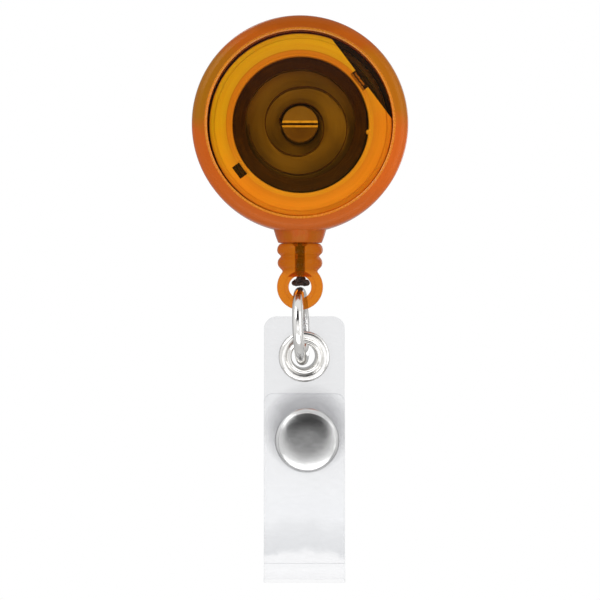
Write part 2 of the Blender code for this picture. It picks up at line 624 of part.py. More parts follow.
def snap():
    """Cap and socket on the front leaf, stud and post on the rear leaf."""
    face = STRAP_THICKNESS / 2 + GAP
    leaf = (SNAP_X, LEAF_Y, SNAP_Z)
    rear = (SNAP_X, 0, SNAP_Z)
    band_top = face + CAP_BAND
    floor = -face - SOCKET_HEIGHT / 2
    cap = [(0, band_top + CAP_CROWN), (CAP_RADIUS * 0.5, band_top + CAP_CROWN * 0.85),
           (CAP_RADIUS * 0.85, band_top + CAP_CROWN * 0.35), (CAP_RADIUS - 0.15 * MM, band_top),
           (CAP_RADIUS, band_top - 0.2 * MM), (CAP_RADIUS, face), (RIVET_RADIUS, face),
           (RIVET_RADIUS, floor + GAP), (0, floor + GAP)]
    cap_part = turned_part("snap_cap", cap, "fold_axis", leaf, steps=48)
    socket = [(SOCKET_RADIUS - 0.3 * MM, -face), (SOCKET_RADIUS, -face - 0.3 * MM),
              (SOCKET_RADIUS, -face - SOCKET_HEIGHT), (SOCKET_MOUTH_RADIUS, -face - SOCKET_HEIGHT),
              (SOCKET_MOUTH_RADIUS, -face - 0.4 * MM), (RIVET_HOLE_RADIUS, -face - 0.4 * MM),
              (RIVET_HOLE_RADIUS, -face)]
    socket_part = turned_part("snap_socket", socket, "fold_axis", leaf, closed=True, steps=32)
    knob_top = face + 1.45 * MM
    stud = [(RIVET_HOLE_RADIUS, knob_top), (STUD_KNOB_RADIUS - 0.2 * MM, knob_top),
            (STUD_KNOB_RADIUS, knob_top - 0.25 * MM), (STUD_KNOB_RADIUS - 0.15 * MM, face + 0.4 * MM),
            (STUD_RADIUS - 0.2 * MM, face + 0.4 * MM), (STUD_RADIUS, face + 0.2 * MM),
            (STUD_RADIUS, face), (RIVET_HOLE_RADIUS, face)]
    stud_part = turned_part("snap_stud", stud, "ring_centre", rear, closed=True, steps=32)
    post_top = face + 1.0 * MM
    post = [(0, post_top), (RIVET_RADIUS, post_top), (RIVET_RADIUS, -face), (POST_CAP_RADIUS, -face),
            (POST_CAP_RADIUS, -face - 0.3 * MM), (POST_CAP_RADIUS - 0.5 * MM, -face - 0.6 * MM),
            (0, -face - 0.7 * MM)]
    post_part = turned_part("snap_post", post, "ring_centre", rear, steps=32)
    for piece in (cap_part, socket_part, stud_part, post_part):
        paint(piece, "nickel", NICKEL, 0.25, 1.0)


def belt_clip():
    """The riveted base with most of the bend, the tongue that flexes, and the rivet."""
    bend = (CLIP_BASE_Y + CLIP_BEND_RADIUS, CLIP_BEND_Z)
    rise = [(CLIP_BASE_Y, CLIP_BASE_BOTTOM), (CLIP_BASE_Y, CLIP_BEND_Z)]
    over = arc(bend, CLIP_BEND_RADIUS, math.pi, math.pi - CLIP_BEND_END, 12)
    base_mesh = outline_mesh("belt_clip", strip_outline(rise + over[1:], CLIP_THICKNESS), CLIP_WIDTH)
    base = new_part("belt_clip", base_mesh, "case_centre", turn=SIDE_OUTLINE)
    hole_radius = CLIP_RIVET_RADIUS + GAP
    reach = 1.2 * MM
    hole = [(0, reach), (hole_radius, reach), (hole_radius, -reach), (0, -reach)]
    combine(base, turned_cutter("clip_hole", hole, "case_centre", (0, CLIP_BASE_Y, 0), steps=20))
    down = arc(bend, CLIP_BEND_RADIUS, math.pi - TONGUE_BEND_START, 0.0, 4)
    knots = [(bend[0] + CLIP_BEND_RADIUS, CLIP_BEND_Z), TONGUE_MIDDLE, TONGUE_NIP, TONGUE_LIP]
    lip = smooth_path(knots, 6)
    tongue_mesh = outline_mesh("clip_tongue", strip_outline(down[:-1] + lip, CLIP_THICKNESS), CLIP_WIDTH)
    tongue = new_part("clip_tongue", tongue_mesh, "clip_bend", turn=SIDE_OUTLINE)
    head_face = -(CLIP_BASE_Y + CLIP_THICKNESS / 2 + GAP)
    rivet = [(0, -2.6 * MM), (CLIP_RIVET_RADIUS, -2.6 * MM), (CLIP_RIVET_RADIUS, head_face),
             (CLIP_RIVET_HEAD_RADIUS, head_face), (CLIP_RIVET_HEAD_RADIUS - 0.3 * MM, head_face - 0.4 * MM),
             (0, head_face - 0.55 * MM)]
    rivet_part = turned_part("clip_rivet", rivet, "case_centre", steps=24)
    for piece in (base, tongue, rivet_part):
        paint(piece, "nickel", NICKEL, 0.25, 1.0)


def shade_parts():
    """Round pieces are smooth, with their edges kept sharp."""
    for obj in parts.objects:
        if obj.type == "MESH":
            obj.data.shade_smooth()
            obj.data.set_sharp_from_angle(angle=math.radians(35.0))


clear_scene()
make_collections()
add_pivots()
front_cover()
back_cover()
spool()
mainspring()
cord()
cord_end_fitting()
link_ring()
strap()
eyelet()
snap()
belt_clip()
shade_parts()
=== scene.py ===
"""Looks of the retractable badge reel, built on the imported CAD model.

Every size is in millimetres from the centre of the round case unless a name says otherwise:
+X to the right, the front towards -Y, +Z up. at() turns such a place into the row frame.
"""

import json
import math

import bmesh
import bpy
import numpy as np
from mathutils import Matrix, Vector, noise


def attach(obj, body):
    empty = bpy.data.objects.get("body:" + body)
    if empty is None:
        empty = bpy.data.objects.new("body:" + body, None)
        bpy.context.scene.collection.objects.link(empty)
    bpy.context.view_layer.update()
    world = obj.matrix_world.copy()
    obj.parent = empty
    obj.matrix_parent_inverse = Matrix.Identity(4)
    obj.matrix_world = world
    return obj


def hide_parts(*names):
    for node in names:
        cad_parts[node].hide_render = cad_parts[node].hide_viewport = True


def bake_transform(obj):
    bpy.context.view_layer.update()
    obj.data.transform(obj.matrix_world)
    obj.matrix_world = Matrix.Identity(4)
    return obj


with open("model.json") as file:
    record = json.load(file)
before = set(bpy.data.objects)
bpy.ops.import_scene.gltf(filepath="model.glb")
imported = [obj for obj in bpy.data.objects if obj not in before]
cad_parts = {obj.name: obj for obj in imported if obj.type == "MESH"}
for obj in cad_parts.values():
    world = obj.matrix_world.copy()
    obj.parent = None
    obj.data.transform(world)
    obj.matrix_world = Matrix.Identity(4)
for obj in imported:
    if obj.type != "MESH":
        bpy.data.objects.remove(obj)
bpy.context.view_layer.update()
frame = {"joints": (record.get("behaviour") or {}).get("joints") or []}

MM = 0.001
TAU = 2 * math.pi
CENTRE = next(Vector(joint["pos_m"]) for joint in frame["joints"] if joint["name"] == "spool_spin")

# Case
CASE_R = 16.0
BORE_R = 14.2
NOZZLE_BOTTOM = -17.45

# Spool
FLANGE_R = 13.5
SPOOL_SHIFT = (0.10, -0.12)         # a fit to the picture; the wound cord isn't moved with it
FLANGE_H = 2.6
WALL_IN, WALL_OUT = 10.1, 10.7
FLAT_DISTANCE = 11.3
FLAT_ANGLE = math.radians(37.0)
HOOK_ANGLE = math.radians(217.0)

# Cord
CORD_D = 0.8
WIND_RADII = (11.15, 11.85, 12.55)
LEAD_R = 13.5

# Strap, snap, ring, clip
STRAP_X, STRAP_W, STRAP_T = 0.65, 12.0, 0.5
STRAP_TOP, FOLD_Z, FOLD_R = -28.5, -65.3, 2.35
LEAF_Y, LEAF_TOP = -3.4, -39.8
EYELET_Z = -34.48
SNAP_X, SNAP_Z = 1.05, -46.7
EYE_Z = -24.12
RING_R, RING_WIRE = 5.05, 0.8
CLIP_W, CLIP_T, CLIP_Y, CLIP_BEND_Z, CLIP_BEND_R = 11.0, 0.5, 5.65, 12.8, 1.75


def at(x, y, z):
    """A place counted from the case's centre, in the row frame and in metres."""
    return CENTRE + Vector((x, y, z)) * MM


# ---------------------------------------------------------------- mesh helpers

def finish_mesh(obj, angle=32.0):
    """Smooth faces with the hard edges kept."""
    shape = bmesh.new()
    shape.from_mesh(obj.data)
    bmesh.ops.remove_doubles(shape, verts=shape.verts, dist=0.002 * MM)
    bmesh.ops.recalc_face_normals(shape, faces=shape.faces)
    shape.to_mesh(obj.data)
    shape.free()
    obj.data.shade_smooth()
    obj.data.set_sharp_from_angle(angle=math.radians(angle))


def new_object(name, verts, faces):
    """An object whose points are places counted from the case's centre."""
    mesh = bpy.data.meshes.new(name)
    mesh.from_pydata([tuple(at(*v)) for v in verts], [], faces)
    obj = bpy.data.objects.new(name, mesh)
    bpy.context.scene.collection.objects.link(obj)
    return obj


def fillet(profile, radius, closed=False, count=4):
    """Rounds the corners of a profile, each by at most the radius."""
    points = [Vector(p) for p in profile]
    n = len(points)
    rounded = []
    for i, p in enumerate(points):
        if not closed and i in (0, n - 1):
            rounded.append(tuple(p))
            continue
        before, after = points[i - 1] - p, points[(i + 1) % n] - p
        turn = before.angle(after) if before.length and after.length else math.pi
        cut = min(radius, 0.45 * before.length, 0.45 * after.length)
        if cut < 0.004 or turn > math.radians(172):
            rounded.append(tuple(p))
            continue
        a, b = p + before.normalized() * cut, p + after.normalized() * cut
        for k in range(count + 1):
            t = k / count
            rounded.append(tuple(a * (1 - t) ** 2 + 2 * p * t * (1 - t) + b * t ** 2))
    return rounded


def lathe(name, profile, place=(0, 0, 0), up=False, steps=192, closed=False, round_by=0.0):
    """A turned piece: (radius, height) points, with the height towards the front, or up."""
    if round_by:
        profile = fillet(profile, round_by, closed)
    verts, faces, rings = [], [], []
    for radius, height in profile:
        count = 1 if radius < 1e-6 else steps
        ring = []
        for k in range(count):
            a = TAU * k / steps
            u, v = radius * math.cos(a), radius * math.sin(a)
            spot = (u, v, height) if up else (u, -height, v)
            ring.append(len(verts))
            verts.append(tuple(s + p for s, p in zip(spot, place)))
        rings.append(ring)
    pairs = list(zip(rings, rings[1:])) + ([(rings[-1], rings[0])] if closed else [])
    for low, high in pairs:
        for k in range(steps):
            j = (k + 1) % steps
            quad = [low[k % len(low)], low[j % len(low)], high[j % len(high)], high[k % len(high)]]
            quad = list(dict.fromkeys(quad))
            if len(quad) > 2:
                faces.append(quad)
    obj = new_object(name, verts, faces)
    finish_mesh(obj)
    return obj


def block(name, size, place, turn=0.0):
    """A box for cutting, turned about the case's axis."""
    half = [s / 2 for s in size]
    spin = Matrix.Rotation(-turn, 3, "Y")
    verts = [spin @ Vector((x * half[0], y * half[1], z * half[2])) + Vector(place)
             for x in (-1, 1) for y in (-1, 1) for z in (-1, 1)]
    faces = [(0, 1, 3, 2), (4, 6, 7, 5), (0, 4, 5, 1), (2, 3, 7, 6), (0, 2, 6, 4), (1, 5, 7, 3)]
    obj = new_object(name, [tuple(v) for v in verts], faces)
    finish_mesh(obj)
    return obj


def slot_cutter(name, length, slot, mouth, deep, front, bottom):
    """A cutter along X with straight sides, flared where the slot opens at a front face."""
    over = 0.3
    flare = (mouth - slot) / 2 / deep * over + mouth / 2
    side = [(front - over, flare), (front + deep, slot / 2), (bottom, slot / 2)]
    outline = side + [(y, -z) for y, z in reversed(side)]
    count = len(outline)
    verts = [(x, y, z) for x in (-length / 2, length / 2) for y, z in outline]
    faces = [tuple(range(count)), tuple(range(2 * count - 1, count - 1, -1))]
    faces += [(k, (k + 1) % count, (k + 1) % count + count, k + count) for k in range(count)]
    obj = new_object(name, verts, faces)
    finish_mesh(obj)
    return obj


def bake_modifiers(obj):
    depsgraph = bpy.context.evaluated_depsgraph_get()
    mesh = bpy.data.meshes.new_from_object(obj.evaluated_get(depsgraph), preserve_all_data_layers=True,
                                           depsgraph=depsgraph)
    obj.modifiers.clear()
    obj.data = mesh


def shift(obj, x, y, z):
    """Moves an object's mesh, with the object left where it is."""
    obj.data.transform(Matrix.Translation(Vector((x, y, z)) * MM))


def combine(obj, tool, operation="DIFFERENCE"):
    """Joins or cuts with another object, which is used up."""
    modifier = obj.modifiers.new("combine", "BOOLEAN")
    modifier.operation = operation
    modifier.object = tool
    modifier.solver = "EXACT"
    bake_modifiers(obj)
    bpy.data.objects.remove(tool, do_unlink=True)


def bevel(obj, width, segments=3, angle=40.0):
    modifier = obj.modifiers.new("bevel", "BEVEL")
    modifier.width = width * MM
    modifier.segments = segments
    modifier.limit_method = "ANGLE"
    modifier.angle_limit = math.radians(angle)
    bake_modifiers(obj)


def polar(radius, angle, y=0.0):
    return (radius * math.cos(angle), y, radius * math.sin(angle))


def smooth_path(knots, count):
    """Points on a Catmull-Rom curve through the knots, count for each stretch."""
    knots = [Vector(knot) for knot in knots]
    ends = [2 * knots[0] - knots[1]] + knots + [2 * knots[-1] - knots[-2]]
    points = []
    for i in range(1, len(ends) - 2):
        before, start, end, after = ends[i - 1:i + 3]
        for step in range(count):
            t = step / count
            points.append(0.5 * (2 * start + (end - before) * t
                                 + (2 * before - 5 * start + 4 * end - after) * t ** 2
                                 + (3 * start - before - 3 * end + after) * t ** 3))
    return points + [knots[-1]]


def even_path(points, spacing):
    """The same path with points at an even spacing."""
    points = np.array([tuple(p) for p in points])
    steps = np.linalg.norm(np.diff(points, axis=0), axis=1)
    along = np.concatenate([[0], np.cumsum(steps)])
    places = np.linspace(0, along[-1], max(2, round(along[-1] / spacing) + 1))
    return [Vector([np.interp(s, along, points[:, k]) for k in range(3)]) for s in places]


def rope(name, path, radius, sides=12, lobes=3, depth=0.10, lay=2.6, closed=False):
    """A twisted cord along a path: its section has lobes that turn once in each lay."""
    n = len(path)
    verts, faces = [], []
    tangents = []
    for i in range(n):
        ahead = path[(i + 1) % n] if closed else path[min(i + 1, n - 1)]
        behind = path[i - 1] if closed else path[max(i - 1, 0)]
        tangents.append((ahead - behind).normalized())
    side = tangents[0].orthogonal().normalized()
    travelled = 0.0
    for i, point in enumerate(path):
        if i:
            travelled += (point - path[i - 1]).length
            side = (side - side.dot(tangents[i]) * tangents[i]).normalized()
        up = tangents[i].cross(side)
        twist = TAU * travelled / lay
        for k in range(sides):
            a = TAU * k / sides
            r = radius * (1 - depth + depth * math.cos(lobes * (a - twist)))
            verts.append(tuple(point + r * (math.cos(a) * side + math.sin(a) * up)))
    rows = n if closed else n - 1
    for i in range(rows):
        for k in range(sides):
            j = (k + 1) % sides
            a, b = i * sides, ((i + 1) % n) * sides
            faces.append((a + k, a + j, b + j, b + k))
    if not closed:
        faces.append(tuple(range(sides - 1, -1, -1)))
        faces.append(tuple((n - 1) * sides + k for k in range(sides)))
    obj = new_object(name, verts, faces)
    finish_mesh(obj, 60.0)
    return obj


# ------------------------------------------------------------ material helpers

class Nodes:
    """A material's node tree, with short ways to add to it."""

    def __init__(self, name):
        self.material = bpy.data.materials.new(name)
        self.material.use_nodes = True
        self.tree = self.material.node_tree
        self.tree.nodes.clear()
        self.output = self.tree.nodes.new("ShaderNodeOutputMaterial")
        self.place = None

    def add(self, kind, inputs=None, **settings):
        node = self.tree.nodes.new("ShaderNode" + kind)
        for key, value in settings.items():
            setattr(node, key, value)
        for key, value in (inputs or {}).items():
            self.put(node.inputs[key], value)
        return node

    def put(self, socket, value):
        if isinstance(value, bpy.types.NodeSocket):
            self.tree.links.new(value, socket)
        elif isinstance(value, (tuple, list)) and len(value) == 3 and socket.type == "RGBA":
            socket.default_value = (*value, 1.0)
        else:
            socket.default_value = value

    def math(self, operation, a, b=0.0):
        return self.add("Math", {0: a, 1: b}, operation=operation).outputs[0]

    def plus(self, a, b):
        return self.math("ADD", a, b)

    def minus(self, a, b):
        return self.math("SUBTRACT", a, b)

    def times(self, a, b):
        return self.math("MULTIPLY", a, b)

    def distance(self, a, b):
        """The square root of the sum of the two squares."""
        return self.math("SQRT", self.plus(self.times(a, a), self.times(b, b)))

    def mix(self, factor, a, b):
        node = self.add("Mix", data_type="RGBA")
        self.put(node.inputs[0], factor)
        self.put(node.inputs[6], a)
        self.put(node.inputs[7], b)
        return node.outputs[2]

    def spread(self, value, low, high, to_low=0.0, to_high=1.0):
        """The value moved from one range to another, and kept inside it."""
        node = self.add("MapRange", {0: value, 1: low, 2: high, 3: to_low, 4: to_high})
        return node.outputs[0]

    def ramp(self, value, stops):
        node = self.add("ValToRGB", {0: value})
        elements = node.color_ramp.elements
        while len(elements) < len(stops):
            elements.new(1.0)
        for element, (position, colour) in zip(elements, stops):
            element.position = position
            element.color = (*colour, 1.0)
        return node.outputs[0]

    def spot(self, centre=(0, 0, 0)):
        """The place on the piece in millimetres from a centre, as a vector."""
        coordinates = self.add("TexCoord").outputs["Object"]
        origin = at(*centre)
        moved = self.add("VectorMath", {0: coordinates, 1: tuple(origin)}, operation="SUBTRACT")
        scaled = self.add("VectorMath", {0: moved.outputs[0], 3: 1000.0}, operation="SCALE")
        return scaled.outputs[0]

    def parts(self, vector):
        return self.add("SeparateXYZ", {0: vector}).outputs

    def vector(self, x, y, z):
        return self.add("CombineXYZ", {0: x, 1: y, 2: z}).outputs[0]

    def noise(self, vector, scale, detail=3.0, rough=0.55, warp=0.0):
        node = self.add("TexNoise", {"Vector": vector, "Scale": scale, "Detail": detail,
                                     "Roughness": rough, "Distortion": warp})
        return node.outputs[0]

    def rings(self, spot, fine, coarse):
        """Noise drawn out round the case's axis: fine across the radius, coarse along it."""
        x, _, z = self.parts(spot)
        radius = self.distance(x, z)
        safe = self.math("MAXIMUM", radius, 0.2)
        cosine, sine = self.math("DIVIDE", x, safe), self.math("DIVIDE", z, safe)
        stretched = self.vector(self.times(cosine, coarse), self.times(sine, coarse),
                                self.times(radius, fine))
        return radius, self.noise(stretched, 1.0, 4.0)

    def bump(self, height, strength, distance, normal=None):
        inputs = {"Height": height, "Strength": strength, "Distance": distance * MM}
        if normal is not None:
            inputs["Normal"] = normal
        return self.add("Bump", inputs).outputs[0]

    def principled(self, **inputs):
        named = {key.replace("_", " ").title().replace("Ior", "IOR"): value
                 for key, value in inputs.items()}
        node = self.add("BsdfPrincipled", named)
        return node.outputs[0]

    def done(self, shader):
        self.tree.links.new(shader, self.output.inputs[0])
        return self.material


def paint(obj, *materials):
    obj.data.materials.clear()
    for material in materials:
        obj.data.materials.append(material)


def paint_where(obj, index, test):
    """Gives a material's index to the faces whose middle passes the test."""
    for face in obj.data.polygons:
        middle = (face.center - CENTRE) / MM
        if test(middle):
            face.material_index = index


# ------------------------------------------------------------------- materials

def scratches(n, spot, low=0.42, high=0.62):
    """Faint wipe marks: noise drawn out two ways."""
    x, y, z = n.parts(spot)
    one = n.noise(n.vector(n.times(x, 0.25), y, n.times(z, 6.0)), 1.0, 4.0)
    two = n.noise(n.vector(n.times(x, 5.0), y, n.times(z, 0.35)), 1.0, 4.0)
    return n.spread(n.math("MAXIMUM", one, two), low, high)


def window_material():
    """The clear orange plate over the works: tinted, glossy, a little wiped."""
    n = Nodes("orange_window")
    spot = n.spot()
    marks = scratches(n, spot, 0.5, 0.8)
    tint = n.mix(n.noise(spot, 0.2), (1.0, 0.80, 0.35), (1.0, 0.83, 0.40))
    clear = n.add("BsdfTransparent", {"Color": tint}).outputs[0]
    rough = n.spread(marks, 0.0, 1.0, 0.05, 0.14)
    wave = n.bump(n.noise(spot, 0.35, 1.0), 0.15, 0.1)
    gloss = n.add("BsdfGlossy", {"Color": (1.0, 0.93, 0.85), "Roughness": rough, "Normal": wave}).outputs[0]
    facing = n.add("LayerWeight", {"Blend": 0.5, "Normal": wave}).outputs["Facing"]
    share = n.plus(n.times(n.math("POWER", facing, 5.0), 0.5), 0.03)
    return n.done(n.add("MixShader", {0: share, 1: clear, 2: gloss}).outputs[0])


def rim_colour_with_painted_reflections(n, spot):
    """The rim's orange with painted reflections and shade: lighter to the right, another tone at the bottom,
    olive shoulders and a darker top on the front; at the back the works show through, blurred, painted in
    with their shade.
    """
    x, y, z = n.parts(spot)
    waver = n.times(n.minus(n.noise(spot, 0.25, 3.0), 0.5), 5.0)
    height = n.plus(z, waver)
    # Painted light: lighter to the right, and a painted reflection tone towards the bottom.
    orange = n.mix(n.spread(x, -14.0, 14.0), (0.53, 0.105, 0.012), (0.67, 0.132, 0.015))
    orange = n.mix(n.spread(height, -8.0, -15.0), orange, (0.50, 0.110, 0.018))
    # Olive on the upper half: a painted reflection.
    shoulder = n.mix(n.spread(x, -14.0, 14.0), (0.36, 0.135, 0.007), (0.47, 0.148, 0.008))
    colour = n.mix(n.spread(height, -1.5, 1.5), orange, shoulder)
    # Painted shade: darker towards the top.
    colour = n.mix(n.spread(height, 9.0, 11.5), colour, (0.46, 0.100, 0.008))
    colour = n.mix(n.spread(height, 13.2, 14.6), colour, (0.38, 0.082, 0.007))
    # At the back, the works painted in as seen through the plastic: the dark bands are painted shade behind
    # the spring and at the gap by the bore.
    radius = n.distance(x, z)
    through = n.ramp(n.spread(n.plus(radius, n.times(waver, 0.12)), 0.0, 16.0), [
        (0.0, (0.52, 0.13, 0.012)), (0.46, (0.50, 0.12, 0.012)), (0.54, (0.30, 0.060, 0.006)),
        (0.62, (0.30, 0.060, 0.006)), (0.67, (0.72, 0.19, 0.014)), (0.82, (0.70, 0.17, 0.012)),
        (0.87, (0.42, 0.085, 0.008)), (1.0, (0.62, 0.12, 0.012))])
    return n.mix(n.spread(y, 0.5, 4.0), colour, through)


def fitting_colour(n, spot):
    """Yellow where it is clear through the middle, red-orange at the ribs' ends, brighter at the eye."""
    x, _, z = n.parts(spot)
    sideways = n.plus(n.math("ABSOLUTE", x), n.times(n.noise(spot, 0.9, 2.0), 1.4))
    ribs = n.mix(n.spread(sideways, 1.2, 2.8), (0.62, 0.24, 0.006), (0.60, 0.115, 0.006))
    eye = n.mix(n.noise(spot, 0.4), (0.80, 0.20, 0.006), (0.86, 0.27, 0.010))
    return n.mix(n.spread(z, -21.4, -22.4), ribs, eye)


def nozzle_colour(n, spot):
    return n.mix(n.spread(n.noise(spot, 0.5), 0.35, 0.65), (0.50, 0.085, 0.008), (0.44, 0.110, 0.007))


def moulded(n, spot, colour, low, high):
    """Roughness and bump of moulded plastic with flow streaks, and the colour with streaks in it."""
    _, streaks = n.rings(spot, 1.6, 2.2)
    colour = n.mix(n.spread(streaks, 0.35, 0.75, 0.0, 0.22), colour, (0.40, 0.07, 0.006))
    fine = n.noise(spot, 5.0, 3.0)
    rough = n.spread(n.plus(fine, n.times(streaks, 0.5)), 0.5, 1.1, low, high)
    bump = n.bump(n.noise(spot, 0.7, 1.0), 0.20, 0.06, n.bump(fine, 0.08, 0.008))
    return colour, rough, bump


def case_material(name, colour_at, clear):
    """Moulded translucent orange, thick enough to look nearly solid."""
    n = Nodes(name)
    spot = n.spot()
    colour, rough, bump = moulded(n, spot, colour_at(n, spot), 0.12, 0.26)
    shader = n.principled(base_color=colour, roughness=rough, ior=1.49, transmission_weight=clear,
                          specular_ior_level=0.12, specular_tint=(1.0, 0.62, 0.35, 1.0), normal=bump)
    return n.done(shader)


def fitting_material():
    """The same plastic where it is thin enough to see the cord through it."""
    n = Nodes("orange_fitting")
    spot = n.spot()
    colour, rough, bump = moulded(n, spot, fitting_colour(n, spot), 0.06, 0.14)
    _, _, z = n.parts(spot)
    tint = n.mix(n.spread(z, -21.4, -22.4), (0.70, 0.36, 0.09), (0.82, 0.46, 0.13))
    clear = n.add("BsdfTransparent", {"Color": tint}).outputs[0]
    solid = n.principled(base_color=colour, roughness=rough, ior=1.49, specular_ior_level=0.3,
                         specular_tint=(1.0, 0.8, 0.6, 1.0), normal=bump)
    facing = n.add("LayerWeight", {"Blend": 0.5}).outputs["Facing"]
    share = n.spread(n.math("POWER", facing, 2.0), 0.0, 1.0, 0.12, 0.70)
    return n.done(n.add("MixShader", {0: share, 1: clear, 2: solid}).outputs[0])


def drum_material():
    """The spool's amber plastic with painted light: gold on the upper left and orange below where the light
    falls, lighter towards the flange's edge, a contrasting wall top shaded the other way round, and a thin
    dark line of painted shade where the wall meets the flange.
    """
    n = Nodes("drum_amber")
    spot = n.spot()
    radius, streaks = n.rings(spot, 2.4, 1.3)
    x, _, z = n.parts(spot)
    # Painted light: the slope turns the upper left gold and the lower right orange.
    slope = n.plus(n.times(x, -0.019), n.times(z, 0.040))
    slope = n.plus(slope, n.times(n.minus(n.noise(spot, 0.09), 0.5), 0.4))
    gold = n.spread(slope, -0.16, 0.20)
    # Painted light: darker near the wall and lighter towards the flange's edge, making up for the rim's shade
    # there.
    inner = n.mix(gold, (0.66, 0.42, 0.36), (0.62, 0.60, 0.24))
    outer = n.mix(gold, (0.98, 0.62, 0.42), (0.86, 0.90, 0.20))
    colour = n.mix(n.spread(radius, 11.0, 13.0), inner, outer)
    # The wall top, with the painted light the other way round.
    wall = n.mix(gold, (0.70, 0.56, 0.42), (0.60, 0.36, 0.22))
    colour = n.mix(n.spread(radius, 10.86, 10.94), wall, colour)
    # Painted shade: a thin dark line where the wall top meets the flange.
    line = n.times(n.spread(radius, 10.80, 10.90), n.spread(radius, 11.02, 10.92))
    colour = n.mix(n.times(line, n.times(gold, 0.7)), colour, (0.42, 0.20, 0.06))
    colour = n.mix(n.spread(streaks, 0.45, 0.75, 0.0, 0.30), colour, (0.58, 0.36, 0.12))
    rough = n.spread(streaks, 0.3, 0.7, 0.28, 0.5)
    bump = n.bump(streaks, 0.3, 0.05, n.bump(n.noise(spot, 7.0), 0.1, 0.01))
    return n.done(n.principled(base_color=colour, roughness=rough, ior=1.5, normal=bump,
                               subsurface_weight=0.15, subsurface_scale=0.001,
                               subsurface_radius=(1.0, 0.4, 0.1)))


def floor_material():
    """The bottom of the drum, seen deep in the works, with painted shade darker outwards and on the post's
    bottom half, and a painted highlight along the post's slot.
    """
    n = Nodes("drum_floor")
    spot = n.spot()
    radius, streaks = n.rings(spot, 1.4, 0.9)
    # Painted shade: darker outwards, towards the spring turns and the drum wall.
    colour = n.ramp(n.spread(radius, 0.0, 11.0), [
        (0.0, (0.18, 0.15, 0.20)), (0.25, (0.18, 0.15, 0.20)), (0.27, (0.30, 0.24, 0.22)),
        (0.40, (0.42, 0.36, 0.32)), (0.60, (0.40, 0.34, 0.30)), (0.74, (0.24, 0.17, 0.13)),
        (0.86, (0.10, 0.05, 0.02))])
    _, _, z = n.parts(spot)
    on_post = n.spread(radius, 2.75, 2.70)
    # Painted shade: darker on the post's bottom half.
    painted_post_shade = n.times(on_post, n.spread(z, 0.1, -0.3))
    colour = n.mix(n.times(painted_post_shade, 0.75), colour, (0.06, 0.030, 0.03))
    # Painted highlight along the edges of the slot in the post.
    slot = n.times(on_post, n.spread(n.math("ABSOLUTE", z), 0.52, 0.46))
    colour = n.mix(slot, colour, (0.66, 0.56, 0.44))
    colour = n.mix(n.spread(streaks, 0.45, 0.75, 0.0, 0.4), colour, (0.16, 0.11, 0.06))
    bump = n.bump(streaks, 0.4, 0.08)
    return n.done(n.principled(base_color=colour, roughness=n.spread(streaks, 0.3, 0.7, 0.35, 0.6),
                               normal=bump))


def lip_material():
    """The step between the rim and the window, where the moulding is thin: its bright orange is a painted
    highlight for the light it catches, painted darker towards the top as shade.
    """
    n = Nodes("orange_lip")
    spot = n.spot()
    _, streaks = n.rings(spot, 2.0, 2.0)
    _, _, z = n.parts(spot)
    # Painted highlight: the bright orange of the step.
    colour = n.mix(n.spread(streaks, 0.35, 0.7), (0.88, 0.25, 0.010), (0.84, 0.31, 0.014))
    # Painted shade: darker towards the top.
    colour = n.mix(n.spread(z, 5.0, 13.0, 0.0, 0.45), colour, (0.45, 0.17, 0.008))
    rough = n.spread(n.noise(spot, 4.0), 0.3, 0.7, 0.18, 0.34)
    return n.done(n.principled(base_color=colour, roughness=rough, ior=1.49, transmission_weight=0.25,
                               normal=n.bump(streaks, 0.2, 0.03)))


def spring_material():
    """Blued strip steel."""
    n = Nodes("spring_steel")
    spot = n.spot()
    _, streaks = n.rings(spot, 6.0, 1.5)
    colour = n.mix(n.spread(streaks, 0.35, 0.7), (0.055, 0.026, 0.015), (0.12, 0.065, 0.04))
    rough = n.spread(n.noise(spot, 4.0), 0.3, 0.7, 0.30, 0.5)
    return n.done(n.principled(base_color=colour, metallic=0.9, roughness=rough,
                               normal=n.bump(streaks, 0.2, 0.02)))


def spring_glint_material():
    """The cut edge of the spring's end as a painted glint: bright and pinkish for the light it catches and
    the plastic's colour it reflects.
    """
    n = Nodes("spring_edge")
    spot = n.spot()
    marks = n.noise(spot, 4.0, 4.0)
    colour = n.mix(n.spread(marks, 0.35, 0.65), (0.42, 0.26, 0.22), (0.80, 0.62, 0.56))
    rough = n.spread(marks, 0.3, 0.7, 0.35, 0.55)
    return n.done(n.principled(base_color=colour, metallic=0.2, roughness=rough,
                               normal=n.bump(marks, 0.2, 0.02)))


def cord_material(name, dark, light):
    """Twisted polyester cord, with fibres along the strands."""
    n = Nodes(name)
    spot = n.spot()
    fibres = n.noise(spot, 9.0, 5.0, 0.7, 1.2)
    colour = n.mix(n.spread(fibres, 0.35, 0.68), dark, light)
    bump = n.bump(fibres, 0.6, 0.06)
    return n.done(n.principled(base_color=colour, roughness=n.spread(fibres, 0.3, 0.7, 0.6, 0.85),
                               normal=bump, sheen_weight=0.35, sheen_roughness=0.4))


def metal_material(name, colour, low, high, grain=(1.0, 1.0, 1.0), scale=6.0, depth=0.02, dents=0.25):
    """Plated metal: grain drawn out by the three numbers, small stains and soft dents."""
    n = Nodes(name)
    spot = n.spot()
    x, y, z = n.parts(spot)
    drawn = n.vector(*(n.times(part, share) for part, share in zip((x, y, z), grain)))
    fine = n.noise(drawn, scale, 5.0, 0.65)
    stains = n.noise(spot, 0.5, 3.0, 0.6, 0.5)
    darker = tuple(0.72 * c for c in colour)
    tone = n.mix(n.spread(stains, 0.45, 0.75, 0.0, 0.3), colour, darker)
    rough = n.spread(n.plus(fine, n.times(stains, 0.6)), 0.5, 1.1, low, high)
    bump = n.bump(fine, 0.35, depth, n.bump(n.noise(spot, 0.9, 1.0), dents, 0.1))
    return n.done(n.principled(base_color=tone, metallic=1.0, roughness=rough, normal=bump))


